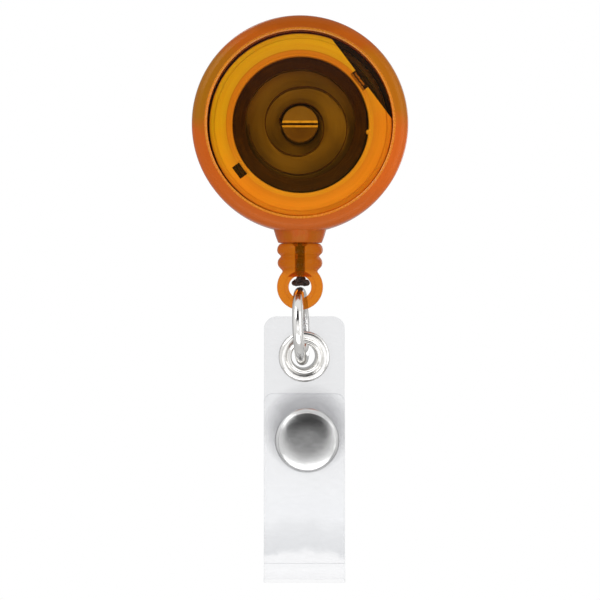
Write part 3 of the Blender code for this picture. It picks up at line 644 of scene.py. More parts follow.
def vinyl_material():
    """Clear vinyl sheet: see-through and greyish, with haze and shallow creases; painted shade just above the
    fold, a painted highlight from the fold on, and a painted shadow round the snap.
    """
    n = Nodes("clear_vinyl")
    spot = n.spot()
    x, y, z = n.parts(spot)
    creases = n.noise(n.vector(n.times(x, 0.35), y, z), 0.5, 2.0, 0.5, 0.8)
    fine = n.noise(spot, 5.0, 3.0)
    bump = n.bump(creases, 0.30, 0.25, n.bump(fine, 0.1, 0.01))
    along = n.add("Attribute", attribute_name="along").outputs["Fac"]
    sideways = n.times(n.math("ABSOLUTE", n.minus(x, STRAP_X)), 0.16)
    ragged = n.plus(along, n.times(n.minus(n.noise(spot, 0.35, 3.0), 0.5), 3.0))
    ragged = n.minus(ragged, n.times(sideways, sideways))
    # Painted light along the strap: the see-through tint is greyer near the top, darker in a band just above
    # the fold as painted shade, and near white from the fold on as a painted highlight.
    body = n.ramp(n.math("DIVIDE", ragged, 72.0), [
        (0.0, (0.905, 0.907, 0.912)), (0.19, (0.910, 0.912, 0.917)), (0.24, (0.955, 0.956, 0.960)),
        (0.41, (0.945, 0.950, 0.958)), (0.440, (0.880, 0.885, 0.893)), (0.478, (0.860, 0.866, 0.875)),
        (0.489, (0.975, 0.977, 0.980)), (0.60, (0.990, 0.990, 0.992)), (1.0, (0.985, 0.986, 0.988))])
    # Painted shadow: the tint is darker round a spot just above the snap, where the snap's socket shades the
    # sheet.
    dx, dz = n.minus(x, SNAP_X), n.minus(z, SNAP_Z + 1.6)
    near = n.distance(dx, dz)
    tint = n.mix(n.spread(near, 4.2, 6.8, 0.40, 0.0), body, (0.55, 0.55, 0.56))
    clear = n.add("BsdfTransparent", {"Color": tint}).outputs[0]
    haze = n.principled(base_color=n.mix(creases, (0.80, 0.80, 0.82), (0.92, 0.92, 0.93)),
                        roughness=n.spread(fine, 0.3, 0.7, 0.10, 0.22), ior=1.53, normal=bump)
    share = n.spread(creases, 0.3, 0.7, 0.05, 0.10)
    return n.done(n.add("MixShader", {0: share, 1: clear, 2: haze}).outputs[0])


def vinyl_edge_material():
    """The cut edge of the vinyl, which looks grey because it bends the light away."""
    n = Nodes("vinyl_edge")
    spot = n.spot()
    fine = n.noise(spot, 3.0, 4.0)
    clear = n.add("BsdfTransparent", {"Color": (0.80, 0.81, 0.83)}).outputs[0]
    solid = n.principled(base_color=n.mix(fine, (0.42, 0.43, 0.45), (0.68, 0.69, 0.71)),
                         roughness=n.spread(fine, 0.3, 0.7, 0.15, 0.35), ior=1.53,
                         normal=n.bump(fine, 0.4, 0.05))
    return n.done(n.add("MixShader", {0: 0.55, 1: clear, 2: solid}).outputs[0])


def studio_floor_material():
    n = Nodes("studio_floor")
    coordinates = n.add("TexCoord").outputs["Object"]
    cloud = n.noise(coordinates, 3.0, 3.0)
    colour = n.mix(cloud, (0.86, 0.86, 0.86), (0.90, 0.90, 0.90))
    return n.done(n.principled(base_color=colour, roughness=n.spread(cloud, 0.0, 1.0, 0.7, 0.9)))


WINDOW = window_material()
RIM = case_material("orange_case", rim_colour_with_painted_reflections, 0.15)
NOZZLE = case_material("orange_nozzle", nozzle_colour, 0.20)
FITTING = fitting_material()
LIP = lip_material()
DRUM = drum_material()
FLOOR = floor_material()
SPRING = spring_material()
SPRING_GLINT = spring_glint_material()
CORD = cord_material("cord_polyester", (0.010, 0.004, 0.003), (0.050, 0.021, 0.013))
CORD_END = cord_material("cord_melted_end", (0.16, 0.05, 0.03), (0.62, 0.36, 0.28))
NICKEL = metal_material("bright_nickel", (0.75, 0.74, 0.72), 0.08, 0.20, scale=5.0)
CAP = metal_material("brushed_nickel", (0.62, 0.62, 0.62), 0.18, 0.28, (1.0, 1.0, 1.6), 5.0, 0.03, 0.12)
CLIP = metal_material("clip_spring_steel", (0.70, 0.70, 0.71), 0.20, 0.32, (6.0, 1.0, 0.25), 3.0, 0.03, 0.06)
VINYL = vinyl_material()
VINYL_EDGE = vinyl_edge_material()


# ---------------------------------------------------------- camera and the cord

def camera():
    """Straight on, with the photograph's framing."""
    distance, seen_plane, seen_width, middle = 340.0, -3.4, 88.5, -26.06
    data = bpy.data.cameras.new("camera")
    data.sensor_width = 36.0
    data.lens = data.sensor_width * distance / seen_width
    data.clip_start = 0.01
    obj = bpy.data.objects.new("camera", data)
    bpy.context.scene.collection.objects.link(obj)
    obj.location = at(0.0, seen_plane - distance, middle)
    obj.rotation_euler = (math.pi / 2, 0.0, 0.0)
    bpy.context.scene.camera = obj


def cord_route():
    """The whole cord: three layers of turns on the drum, the way out, and the end in the fitting."""
    half = 1.58
    points = []

    def turns(count, start_angle, radius_a, radius_b, y_a, y_b, steps=40):
        total = round(count * steps)
        for i in range(total):
            t = i / total
            angle = start_angle - TAU * count * t
            points.append(Vector(polar(radius_a + (radius_b - radius_a) * t, angle, y_a + (y_b - y_a) * t)))
        return start_angle - TAU * count

    inner, middle, outer = WIND_RADII
    angle = turns(3.85, FLAT_ANGLE, inner, inner, -half, half)
    angle = turns(0.15, angle, inner, middle, half, half)
    angle = turns(3.85, angle, middle, middle, half, -half)
    angle = turns(0.15, angle, middle, outer, -half, -half)
    angle = turns(1.5, angle, outer, outer, -half, -0.3)
    lead_start = math.radians(2.0)
    left = (angle - lead_start) % TAU
    angle = turns(left / TAU, angle, outer, LEAD_R, -0.3, 0.0)
    lead_end = math.radians(-62.0)
    angle = turns((lead_start - lead_end) / TAU, lead_start, LEAD_R, LEAD_R, 0.0, 0.0)
    last = Vector(polar(LEAD_R, lead_end))
    exit_knots = [last, last.lerp(Vector((0.9, 0, -14.0)), 0.5), (0.9, 0, -14.0),
                  (0.15, 0, -14.9), (0, 0, -16.2), (0, 0, -17.4), (0, 0, -20.0), (0, 0, -22.7)]
    points.extend(smooth_path(exit_knots, 8))
    return even_path(points, 0.38)


def cord():
    route = cord_route()
    piece = rope("reel_cord", route, CORD_D / 2, sides=10, lobes=3, depth=0.09, lay=2.4)
    paint(piece, CORD)
    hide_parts("cord_winding", "cord_lead", "cord_run")
    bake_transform(piece)


# ---------------------------------------------------------------------- the case

def nozzle_half(name, side):
    """Half of the nozzle; side is -1 for the front and +1 for the back."""
    profile = [(0, -14.2), (4.15, -14.2), (4.1, -15.0), (3.62, -16.6), (3.25, NOZZLE_BOTTOM - 0.12),
               (0, NOZZLE_BOTTOM - 0.12)]
    cone = lathe(name, profile, up=True, steps=96, round_by=0.15)
    combine(cone, block(name + "_keep", (12, 8, 10), (0, side * 4.05, -16.0)), "INTERSECT")
    return cone


def on_nozzle(p):
    return p.z < -14.3 and math.hypot(p.x, p.z) > CASE_R - 0.05 and abs(p.x) < 4.3


def nozzle_bore(name):
    profile = [(0, -13.2), (2.4, -13.2), (0.9, -15.0), (0.9, -17.2), (1.15, -18.0), (0, -18.0)]
    return lathe(name, profile, up=True, steps=64)


def front_cover():
    outside = [(0, 4.0), (13.86, 4.0), (14.10, 4.48), (14.9, 4.42), (15.5, 4.12), (15.86, 3.62),
               (CASE_R, 3.0), (CASE_R, 0.05), (BORE_R, 0.05), (BORE_R, 1.6), (13.7, 1.6), (13.7, 3.0),
               (0, 3.0)]
    cover = lathe("front_cover_shell", outside, round_by=0.16, steps=256)
    combine(cover, nozzle_half("front_nozzle", -1), "UNION")
    combine(cover, nozzle_bore("front_bore"))
    finish_mesh(cover)
    paint(cover, RIM, WINDOW, NOZZLE, LIP)
    paint_where(cover, 3, lambda p: 13.65 < math.hypot(p.x, p.z) < 14.09 and p.y < -1.5)
    paint_where(cover, 1, lambda p: math.hypot(p.x, p.z) < 13.72 and p.y < -2.85)
    paint_where(cover, 2, on_nozzle)
    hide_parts("front_cover")
    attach(cover, "case")


def back_cover():
    back, floor = -4.5, -3.3
    profile = [(0, 2.2), (2.65, 2.2), (2.65, floor + 0.4), (3.8, floor + 0.4), (3.8, floor), (BORE_R, floor),
               (BORE_R, -0.05), (CASE_R, -0.05), (CASE_R, back + 1.5), (15.86, back + 0.88),
               (15.5, back + 0.38), (14.9, back + 0.06), (14.0, back), (12.2, back), (12.0, back + 0.2),
               (11.8, back), (4.35, back), (4.2, back - 0.6), (0, back - 0.6)]
    cover = lathe("back_cover_shell", profile, round_by=0.16, steps=256)
    combine(cover, slot_cutter("post_slot", 5.9, 0.36, 1.0, 0.16, -2.2, 1.9))
    combine(cover, nozzle_half("back_nozzle", 1), "UNION")
    combine(cover, nozzle_bore("back_bore"))
    combine(cover, lathe("rivet_hole", [(0, -2.3), (1.05, -2.3), (1.05, -7.0), (0, -7.0)], steps=48))
    bevel(cover, 0.10, 2, 50.0)
    finish_mesh(cover)
    paint(cover, RIM, NOZZLE, FLOOR)
    paint_where(cover, 1, on_nozzle)
    paint_where(cover, 2, lambda p: p.y < 3.4 and math.hypot(p.x, p.z) < 13.9)
    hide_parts("back_cover")
    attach(cover, "case")


# --------------------------------------------------------- spool, spring, cord ends

def drum():
    top, under = FLANGE_H, 2.0
    profile = [(WALL_IN, top - 0.15), (10.22, top + 0.04), (10.42, top + 0.04), (10.6, top - 0.06),
               (11.4, top - 0.02), (12.7, top - 0.02), (12.85, top - 0.12), (FLANGE_R - 0.1, top - 0.14),
               (FLANGE_R, top - 0.25), (FLANGE_R, under), (WALL_OUT, under), (WALL_OUT, -under),
               (FLANGE_R, -under), (FLANGE_R, -top), (2.95, -top), (2.95, -under), (WALL_IN, -under)]
    piece = lathe("spool_drum", profile, closed=True, round_by=0.12, steps=256)
    depth = 4.0
    flat = block("flat", (depth, 1.2, 18), polar(FLAT_DISTANCE + depth / 2, FLAT_ANGLE, -2.6), FLAT_ANGLE)
    combine(piece, flat)
    combine(piece, block("notch", (3.0, 1.2, 3.1), polar(11.85, FLAT_ANGLE, -2.6), FLAT_ANGLE))
    combine(piece, block("hook_window", (1.3, 1.2, 2.1), polar(11.3, HOOK_ANGLE, -2.3), HOOK_ANGLE))
    combine(piece, block("hook_slot", (1.6, 3.2, 1.2), polar(10.4, HOOK_ANGLE), HOOK_ANGLE))
    bevel(piece, 0.07, 2, 50.0)
    nub = lathe("nub", [(0, 2.5), (0.32, 2.45), (0.42, 2.1), (0.42, 1.7), (0, 1.7)],
                polar(10.15, math.radians(-6)), steps=32)
    combine(piece, nub, "UNION")
    finish_mesh(piece)
    paint(piece, DRUM, FLOOR)
    paint_where(piece, 1, lambda p: math.hypot(p.x, p.z) < 10.09 and p.y > -1.6)
    shift(piece, SPOOL_SHIFT[0], 0.0, SPOOL_SHIFT[1])
    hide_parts("spool")
    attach(piece, "spool")


def spring_path(radius_of, start, turns, steps=96):
    """A spiral seen from the front, running clockwise from an angle."""
    count = round(turns * steps)
    path = []
    for i in range(count + 1):
        turn = i / steps
        angle = start - TAU * turn
        path.append((radius_of(turn) * math.cos(angle), radius_of(turn) * math.sin(angle)))
    return path


def strip(name, path, thickness, half_width, wobble=0.0):
    """Strip steel standing on edge along a path on the case's face."""
    verts, faces = [], []
    n = len(path)
    for i, (x, z) in enumerate(path):
        ahead, behind = path[min(i + 1, n - 1)], path[max(i - 1, 0)]
        along = Vector((ahead[0] - behind[0], ahead[1] - behind[1])).normalized()
        side = Vector((-along.y, along.x)) * thickness / 2
        shift = wobble * noise.noise(Vector((x * 0.6, z * 0.6, i * 0.004)))
        for s in (1, -1):
            for h in (1, -1):
                verts.append((x + s * side.x, -(h * half_width + shift), z + s * side.y))
    for i in range(n - 1):
        a, b = 4 * i, 4 * i + 4
        for p, q in ((0, 1), (1, 3), (3, 2), (2, 0)):
            faces.append((a + p, a + q, b + q, b + p))
    faces.append((0, 2, 3, 1))
    faces.append((4 * n - 4, 4 * n - 3, 4 * n - 1, 4 * n - 2))
    obj = new_object(name, verts, faces)
    finish_mesh(obj)
    return obj


def quarter_radius(turn):
    """Radius of the loose turns, which open out from the post."""
    radii = (3.1, 3.15, 3.5, 4.65, 5.2, 5.55, 7.0, 7.45, 7.6)
    return float(np.interp(4 * turn, range(len(radii)), radii))


def springs():
    pitch, turns = 0.155, 11.5
    path = spring_path(lambda turn: 8.15 + pitch * turn, 0.0, turns)
    pack = strip("mainspring_turns", path, 0.11, 1.6, 0.12)
    paint(pack, SPRING)
    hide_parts("mainspring_pack")
    hook_path = [polar(9.92, HOOK_ANGLE + 0.10), polar(10.15, HOOK_ANGLE + 0.04), polar(10.5, HOOK_ANGLE),
                 polar(10.92, HOOK_ANGLE), polar(11.02, HOOK_ANGLE + 0.03), polar(11.04, HOOK_ANGLE + 0.085)]
    hook = strip("mainspring_hook", [(p[0], p[2]) for p in hook_path], 0.16, 1.5)
    end_path = [polar(10.60, HOOK_ANGLE - 0.10), polar(10.58, HOOK_ANGLE), polar(10.60, HOOK_ANGLE + 0.10)]
    # The hook end's front edge: a thin strip that carries a painted glint.
    bright = strip("mainspring_hook_end", [(p[0], p[2]) for p in end_path], 0.16, 0.12)
    shift(bright, 0.0, -2.60, 0.0)
    paint(hook, SPRING)
    paint(bright, SPRING_GLINT)

    raw = spring_path(quarter_radius, math.pi, 2.0, 64)
    loose = [tuple(p)[:2] for p in even_path([Vector((x, z, 0)) for x, z in raw], 0.12)]
    for _ in range(12):
        loose = [loose[0]] + [tuple((np.array(a) + np.array(b) + np.array(c)) / 3)
                              for a, b, c in zip(loose, loose[1:], loose[2:])] + [loose[-1]]
    start = [(2.1, 0.02), (0.0, 0.0), (-1.6, 0.0), (-2.5, 0.02), (-2.95, 0.14)]
    arm = strip("mainspring_loose_turns", start + loose[3:], 0.12, 1.6, 0.05)
    paint(arm, SPRING)
    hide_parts("mainspring_arm")
    for piece, body in ((pack, "spool"), (hook, "spool"), (bright, "spool"), (arm, "case")):
        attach(piece, body)


def cord_anchor():
    """The cord's inner end, flattened in its notch as three strands."""
    across, tangent = Vector(polar(1.0, FLAT_ANGLE)), Vector(polar(1.0, FLAT_ANGLE + math.pi / 2))
    middle = Vector(polar(10.80, FLAT_ANGLE, -2.45))
    strands = []
    for k in (-1, 0, 1):
        base = middle + across * 0.24 * k
        path = [base + tangent * s + Vector((0, 0.03 * math.sin(5 * s + k), 0))
                + across * 0.02 * math.sin(7 * s) for s in np.linspace(-1.1, 1.1, 34)]
        strand = rope("cord_anchor_strands" if k == -1 else "strand", path, 0.14, 10, 2, 0.10, 0.9)
        paint(strand, CORD_END, CORD)
        strand.data.polygons.foreach_set("material_index", [1 - abs(k)] * len(strand.data.polygons))
        strands.append(strand)
    whole = strands[0]
    shape = bmesh.new()
    for strand in strands:
        shape.from_mesh(strand.data)
    shape.to_mesh(whole.data)
    shape.free()
    for strand in strands[1:]:
        bpy.data.objects.remove(strand, do_unlink=True)
    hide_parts("cord_anchor")
    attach(whole, "spool")


def cord_knot():
    """A flattened overhand knot, kept clear of the ring below it, and the whipping above it."""
    path = []
    for i in range(120):
        t = TAU * i / 120
        x = 0.40 * (math.sin(t) + 2.0 * math.sin(2 * t))
        z = 0.20 * (2.0 * math.cos(2 * t) - math.cos(t))
        path.append(Vector((0.12 + x, -0.38 * math.sin(3 * t) - 0.1, -23.32 + z)))
    knot = rope("cord_knot_tied", path, 0.30, 14, 3, 0.14, 1.3, closed=True)
    turns = []
    for top, bottom, radius in ((-18.05, -19.15, 0.52), (-20.0, -21.3, 0.48), (-21.5, -22.3, 0.56)):
        count = round((top - bottom) / 0.2)
        turns += [Vector((radius * math.cos(TAU * i / 16), radius * math.sin(TAU * i / 16),
                          top + (bottom - top) * i / (16 * count))) for i in range(16 * count + 1)]
    whipping = rope("cord_whipping", turns, 0.13, 8, 2, 0.08, 0.8)
    for piece in (knot, whipping):
        paint(piece, CORD)
        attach(piece, "cord_end")
    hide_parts("cord_knot")


# ------------------------------------------------------------- fitting and ring

def fitting():
    profile = [(0, -17.62), (2.75, -17.62), (3.05, -17.75), (3.32, -18.1), (3.43, -18.6), (3.32, -19.05),
               (3.0, -19.35), (2.8, -19.55), (3.0, -19.75), (3.26, -20.1), (3.36, -20.55), (3.24, -21.0),
               (2.95, -21.35), (2.64, -21.65), (2.6, -21.95), (2.6, -22.6), (0, -22.6)]
    body = lathe("fitting_body", profile, up=True, steps=128)
    eye = lathe("eye", [(0, 1.35), (3.42, 1.35), (3.42, -1.35), (0, -1.35)], (0, 0, EYE_Z), steps=128,
                round_by=0.45)
    combine(body, eye, "UNION")
    remesh = body.modifiers.new("skin", "REMESH")
    remesh.mode = "VOXEL"
    remesh.voxel_size = 0.075 * MM
    smooth = body.modifiers.new("smooth", "SMOOTH")
    smooth.factor = 0.5
    smooth.iterations = 10
    bake_modifiers(body)
    hole = [(0, 1.6), (2.36, 1.6), (2.36, 0.95), (2.22, 0.78), (1.72, 0.55), (1.68, 0.4), (1.68, -0.4),
            (1.72, -0.55), (2.22, -0.78), (2.36, -0.95), (2.36, -1.6), (0, -1.6)]
    combine(body, lathe("eye_hole", hole, (0, 0, EYE_Z), steps=128, round_by=0.06))
    bore = [(0, -17.0), (1.1, -17.0), (1.1, -17.8), (0.75, -18.1), (0.75, -23.2), (0, -23.2)]
    combine(body, lathe("cord_bore", bore, up=True, steps=64))
    finish_mesh(body, 40.0)
    paint(body, FITTING)
    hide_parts("cord_end_fitting")
    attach(body, "fitting")


def ring():
    """Round wire closed end to end, with the butt joint as a fine nick at the back."""
    pivot = Vector((0, 0, -24.9))
    lean, turn = math.radians(-2.0), math.radians(-5.7)
    centre = pivot + RING_R * Vector((-math.sin(lean), 0, -math.cos(lean)))
    spin = Matrix.Rotation(turn, 3, "Z") @ Matrix.Rotation(math.pi / 2 + lean, 3, "Y")
    verts, faces = [], []
    around, sides = 240, 40
    for i in range(around):
        a = TAU * i / around
        gap = min(abs(a - math.radians(92)), TAU - abs(a - math.radians(92)))
        nick = 1.0 - 0.10 * math.exp(-(gap / 0.016) ** 2)
        for k in range(sides):
            b = TAU * k / sides
            r = RING_WIRE * nick
            spot = Vector(((RING_R + r * math.cos(b)) * math.cos(a), (RING_R + r * math.cos(b)) * math.sin(a),
                           r * math.sin(b)))
            verts.append(tuple(centre + spin @ spot))
    for i in range(around):
        for k in range(sides):
            a, b = i * sides, ((i + 1) % around) * sides
            j = (k + 1) % sides
            faces.append((a + k, a + j, b + j, b + k))
    obj = new_object("link_ring_wire", verts, faces)
    finish_mesh(obj, 60.0)
    paint(obj, NICKEL)
    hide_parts("link_ring")
    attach(obj, "ring")


# ------------------------------------------------------------------------ strap

def arc(centre, radius, start, end, count):
    return [(centre[0] + radius * math.cos(start + (end - start) * i / (count - 1)),
             centre[1] + radius * math.sin(start + (end - start) * i / (count - 1))) for i in range(count)]


def side_view():
    """The sheet's middle line seen from the side as (y, z), from the rear leaf's top to the front leaf's."""
    fold = (-FOLD_R, FOLD_Z)
    down = [(0.0, STRAP_TOP), (0.0, FOLD_Z)]
    round_fold = arc(fold, FOLD_R, 0.0, -math.radians(240.0), 60)
    knots = [round_fold[-1], (-2.75, -61.2), (LEAF_Y + 0.15, -56.0), (LEAF_Y, -52.0), (LEAF_Y, LEAF_TOP)]
    rise = [tuple(p) for p in smooth_path([Vector(k) for k in knots], 40)]
    return down + round_fold[1:] + rise[1:]


def sheet_faces(rows, columns):
    """Faces of a thick sheet whose rows each hold one side's points and then the other's."""
    faces = []
    row, last = 2 * columns, columns - 1
    for i in range(rows - 1):
        a, b = i * row, (i + 1) * row
        for k in range(last):
            faces.append((a + k, a + k + 1, b + k + 1, b + k))
            faces.append((a + columns + k, b + columns + k, b + columns + k + 1, a + columns + k + 1))
        faces.append((a, b, b + columns, a + columns))
        faces.append((a + last, a + columns + last, b + columns + last, b + last))
    for base in (0, (rows - 1) * row):
        for k in range(last):
            faces.append((base + k, base + k + 1, base + columns + k + 1, base + columns + k))
    return faces


def strap_piece(name, path, start_along, top, corner, holes):
    """One stretch of the sheet as a fine grid with thickness, trimmed and pierced."""
    points = even_path([Vector((0.0, y, z)) for y, z in path], 0.4)
    columns = 31
    verts, along = [], []
    travelled = start_along
    half = STRAP_T / 2
    rows = len(points)
    for i, p in enumerate(points):
        if i:
            travelled += (p - points[i - 1]).length
        ahead, behind = points[min(i + 1, rows - 1)], points[max(i - 1, 0)]
        tangent = (ahead - behind).normalized()
        normal = Vector((0, -tangent.z, tangent.y))
        for side in (1, -1):
            for k in range(columns):
                x = STRAP_X + STRAP_W * (k / (columns - 1) - 0.5)
                wave = 0.045 * noise.noise(Vector((x * 0.22, travelled * 0.30, 1.7)))
                spot = Vector((x, p.y, p.z)) + normal * (side * half + wave)
                verts.append(tuple(spot))
                along.append(travelled)
    obj = new_object(name, verts, sheet_faces(rows, columns))
    attribute = obj.data.attributes.new("along", "FLOAT", "POINT")
    attribute.data.foreach_set("value", along)
    finish_mesh(obj)
    if corner:
        left, right = STRAP_X - STRAP_W / 2 - 0.05, STRAP_X + STRAP_W / 2 + 0.05
        first = arc((left + corner, top - corner), corner, math.pi, math.pi / 2, 12)
        second = arc((right - corner, top - corner), corner, math.pi / 2, 0.0, 12)
        outline = [(left, -80.0), (left, top - corner), *first[1:], *second[:-1], (right, top - corner),
                   (right, -80.0)]
        n = len(outline)
        plate_verts = [(x, y, z) for y in (-12.0, 6.0) for x, z in outline]
        plate_faces = [tuple(range(n)), tuple(range(2 * n - 1, n - 1, -1))]
        plate_faces += [(i, i + n, (i + 1) % n + n, (i + 1) % n) for i in range(n)]
        plate = new_object("plate", plate_verts, plate_faces)
        finish_mesh(plate)
        combine(obj, plate, "INTERSECT")
    for x, y, z, radius in holes:
        combine(obj, lathe("hole", [(0, 1.2), (radius, 1.2), (radius, -1.2), (0, -1.2)], (x, y, z), steps=96))
    bevel(obj, 0.13, 2, 50.0)
    finish_mesh(obj)
    return obj


def edge_faces(obj, path):
    """Marks the faces that look sideways out of the sheet."""
    paint(obj, VINYL, VINYL_EDGE)
    for face in obj.data.polygons:
        spot = (face.center - CENTRE) / MM
        normal = face.normal
        nearest = min(range(len(path)), key=lambda i: (path[i][0] - spot.y) ** 2 + (path[i][1] - spot.z) ** 2)
        ahead, behind = path[min(nearest + 1, len(path) - 1)], path[max(nearest - 1, 0)]
        tangent = Vector((0, ahead[0] - behind[0], ahead[1] - behind[1])).normalized()
        sheet_normal = Vector((0, -tangent.z, tangent.y))
        if abs(normal.dot(sheet_normal)) < 0.95:
            face.material_index = 1


def strap():
    whole = side_view()
    dense = [(p.y, p.z) for p in even_path([Vector((0.0, y, z)) for y, z in whole], 0.2)]
    split = STRAP_TOP - FOLD_Z
    rear = strap_piece("strap_rear_leaf", [(0.0, STRAP_TOP), (0.0, FOLD_Z)], 0.0, STRAP_TOP, 1.9,
                       [(STRAP_X, 0, EYELET_Z, 2.5), (SNAP_X, 0, SNAP_Z, 1.1)])
    front_path = whole[1:]
    front = strap_piece("strap_fold_and_front_leaf", front_path, split, LEAF_TOP, 1.5,
                        [(SNAP_X, LEAF_Y, SNAP_Z, 1.1)])
    for piece in (rear, front):
        edge_faces(piece, dense)
    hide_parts("strap_rear")
    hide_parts("strap_front")
    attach(rear, "strap")
    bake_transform(front)


# ---------------------------------------------------------------- eyelet and snap

def turned(name, node, profile, place, material, body, slot, **options):
    """A turned piece that replaces a CAD node and rides on a body."""
    obj = lathe(name, profile, place, **options)
    paint(obj, material)
    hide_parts(node)
    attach(obj, body)
    return obj


def eyelet():
    place = (STRAP_X, 0, EYELET_Z)
    flange = [(1.90, 0.85), (1.96, 1.02), (2.08, 1.10), (2.22, 1.06), (2.36, 0.96), (2.52, 0.93),
              (2.64, 0.99), (2.85, 1.10), (3.10, 1.145), (3.35, 1.12), (3.58, 1.03), (3.74, 0.88),
              (3.80, 0.70), (3.77, 0.56), (3.60, 0.555), (2.25, 0.555), (2.15, -1.15), (1.76, -1.15)]
    barrel = turned("eyelet_barrel", "eyelet", flange, place, NICKEL, "strap", "nickel", closed=True,
                    round_by=0.07)
    for vertex in barrel.data.vertices:
        behind = max((vertex.co.y - at(0, -0.9, 0).y) / (2.05 * MM), 0.0)
        vertex.co.x -= 0.20 * MM * behind
        vertex.co.z += 0.12 * MM * behind
    washer = [(3.6, -0.555), (3.8, -0.70), (3.62, -1.0), (3.2, -1.12), (2.75, -1.12), (2.56, -0.98),
              (2.56, -0.555)]
    turned("eyelet_washer_ring", "eyelet_washer", washer, place, NICKEL, "strap", "nickel", closed=True,
           round_by=0.08)


def snap():
    leaf, rear = (SNAP_X, LEAF_Y, SNAP_Z), (SNAP_X, 0, SNAP_Z)
    top, face, crown = 1.36, 4.2, 0.40
    sag = [(face * k / 24, top + crown * (1 - (k / 24) ** 4)) for k in range(25)]
    cap = sag + [(face + 0.04, top - 0.09), (face + 0.10, top - 0.06), (4.42, top - 0.17), (4.62, top - 0.40),
                 (4.73, top - 0.62), (4.75, 0.66), (4.66, 0.58), (4.5, 0.555), (4.4, 0.62), (0.9, 0.62),
                 (0.9, -1.0), (0, -1.0)]
    dome = turned("snap_cap_dome", "snap_cap", cap, leaf, CAP, "flap", "brushed_nickel", round_by=0.03)
    for vertex in dome.data.vertices:
        proud = (at(0, LEAF_Y, 0).y - vertex.co.y) / MM
        share = min(max(proud - 0.6, 0.0) / 0.8, 1.0)
        above = (vertex.co.z - at(0, 0, SNAP_Z).z) / MM
        vertex.co.z -= 0.20 * MM * share
        vertex.co.y += 0.035 * MM * above * share
    socket = [(2.9, -0.555), (3.2, -0.75), (3.2, -1.2), (3.05, -1.45), (3.2, -1.7), (3.15, -2.05),
              (2.0, -2.05), (1.95, -1.7), (2.05, -0.95), (1.2, -0.95), (1.2, -0.555)]
    turned("snap_socket_cup", "snap_socket", socket, leaf, NICKEL, "flap", "nickel", closed=True,
           round_by=0.08)
    stud = [(1.2, 2.0), (1.45, 2.0), (1.65, 1.78), (1.62, 1.5), (1.48, 1.2), (1.6, 1.0), (2.2, 0.95),
            (3.0, 0.93), (3.2, 0.76), (3.2, 0.555), (1.2, 0.555)]
    turned("snap_stud_knob", "snap_stud", stud, rear, NICKEL, "strap", "nickel", closed=True, round_by=0.08)
    post = [(0, 1.55), (0.85, 1.55), (0.9, 1.4), (0.9, -0.555), (3.4, -0.555), (3.5, -0.7), (3.4, -0.95),
            (3.0, -1.15), (1.6, -1.25), (1.3, -1.12), (0, -1.08)]
    turned("snap_post_cap", "snap_post", post, rear, NICKEL, "strap", "nickel", round_by=0.10)


# -------------------------------------------------------------------- belt clip

def clip_strip(name, path, narrow_ends):
    """Spring steel along a side-view path of (y, z); an end can have round corners."""
    points = even_path([Vector((0.0, y, z)) for y, z in path], 0.35)
    rows = len(points)
    travelled = [0.0]
    for a, b in zip(points, points[1:]):
        travelled.append(travelled[-1] + (b - a).length)
    total = travelled[-1]
    columns = 17
    verts = []
    corner = 2.2
    for i, p in enumerate(points):
        ahead, behind = points[min(i + 1, rows - 1)], points[max(i - 1, 0)]
        tangent = (ahead - behind).normalized()
        normal = Vector((0, -tangent.z, tangent.y))
        inset = 0.0
        for place, wanted in zip((travelled[i], total - travelled[i]), narrow_ends):
            if wanted and place < corner:
                inset = corner - math.sqrt(max(corner ** 2 - (corner - place) ** 2, 0.0))
        half = CLIP_W / 2 - inset
        for side in (1, -1):
            for k in range(columns):
                verts.append(tuple(Vector((half * (2 * k / (columns - 1) - 1), p.y, p.z))
                                   + normal * side * CLIP_T / 2))
    obj = new_object(name, verts, sheet_faces(rows, columns))
    finish_mesh(obj)
    return obj


def belt_clip():
    bend = (CLIP_Y + CLIP_BEND_R, CLIP_BEND_Z)
    middle = math.pi / 2
    rise = [(CLIP_Y, -9.0), (CLIP_Y, CLIP_BEND_Z)] + arc(bend, CLIP_BEND_R, math.pi, middle, 24)[1:]
    base = clip_strip("belt_clip_base", rise, (True, False))
    hole = [(0, 1.2), (1.05, 1.2), (1.05, -1.2), (0, -1.2)]
    combine(base, lathe("clip_hole", hole, (0, CLIP_Y, 0), steps=48))
    bevel(base, 0.10, 2, 50.0)
    finish_mesh(base)
    lip = [tuple(p) for p in smooth_path([Vector(k) for k in (
        (bend[0] + CLIP_BEND_R, CLIP_BEND_Z), (8.45, 4.0), (6.95, -8.0), (8.7, -12.0))], 30)]
    tongue = clip_strip("belt_clip_tongue", arc(bend, CLIP_BEND_R, middle, 0.0, 24) + lip[1:], (False, True))
    bevel(tongue, 0.10, 2, 50.0)
    finish_mesh(tongue)
    for piece in (base, tongue):
        paint(piece, CLIP)
    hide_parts("belt_clip")
    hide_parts("clip_tongue")
    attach(base, "case")
    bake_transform(tongue)
    rivet = [(0, -2.6), (0.65, -2.6), (0.75, -2.75), (0.75, -6.2), (2.0, -6.2), (1.97, -6.35), (1.7, -6.6),
             (1.1, -6.74), (0, -6.78)]
    turned("clip_rivet_head", "clip_rivet", rivet, (0, 0, 0), CLIP, "case", "clip_steel", steps=96,
           round_by=0.06)


# ------------------------------------------------------------- studio and lights

def lamp(name, place, target, width, height, radiance):
    """A soft box; its power follows from how bright its face is."""
    data = bpy.data.lights.new(name, "AREA")
    data.shape = "RECTANGLE"
    data.size, data.size_y = width, height
    data.energy = radiance * math.pi * width * height
    obj = bpy.data.objects.new(name, data)
    bpy.context.scene.collection.objects.link(obj)
    obj.location = CENTRE + Vector(place)
    obj.rotation_euler = (Vector(target) - Vector(place)).to_track_quat("-Z", "Y").to_euler()
    obj.visible_camera = False
    return obj


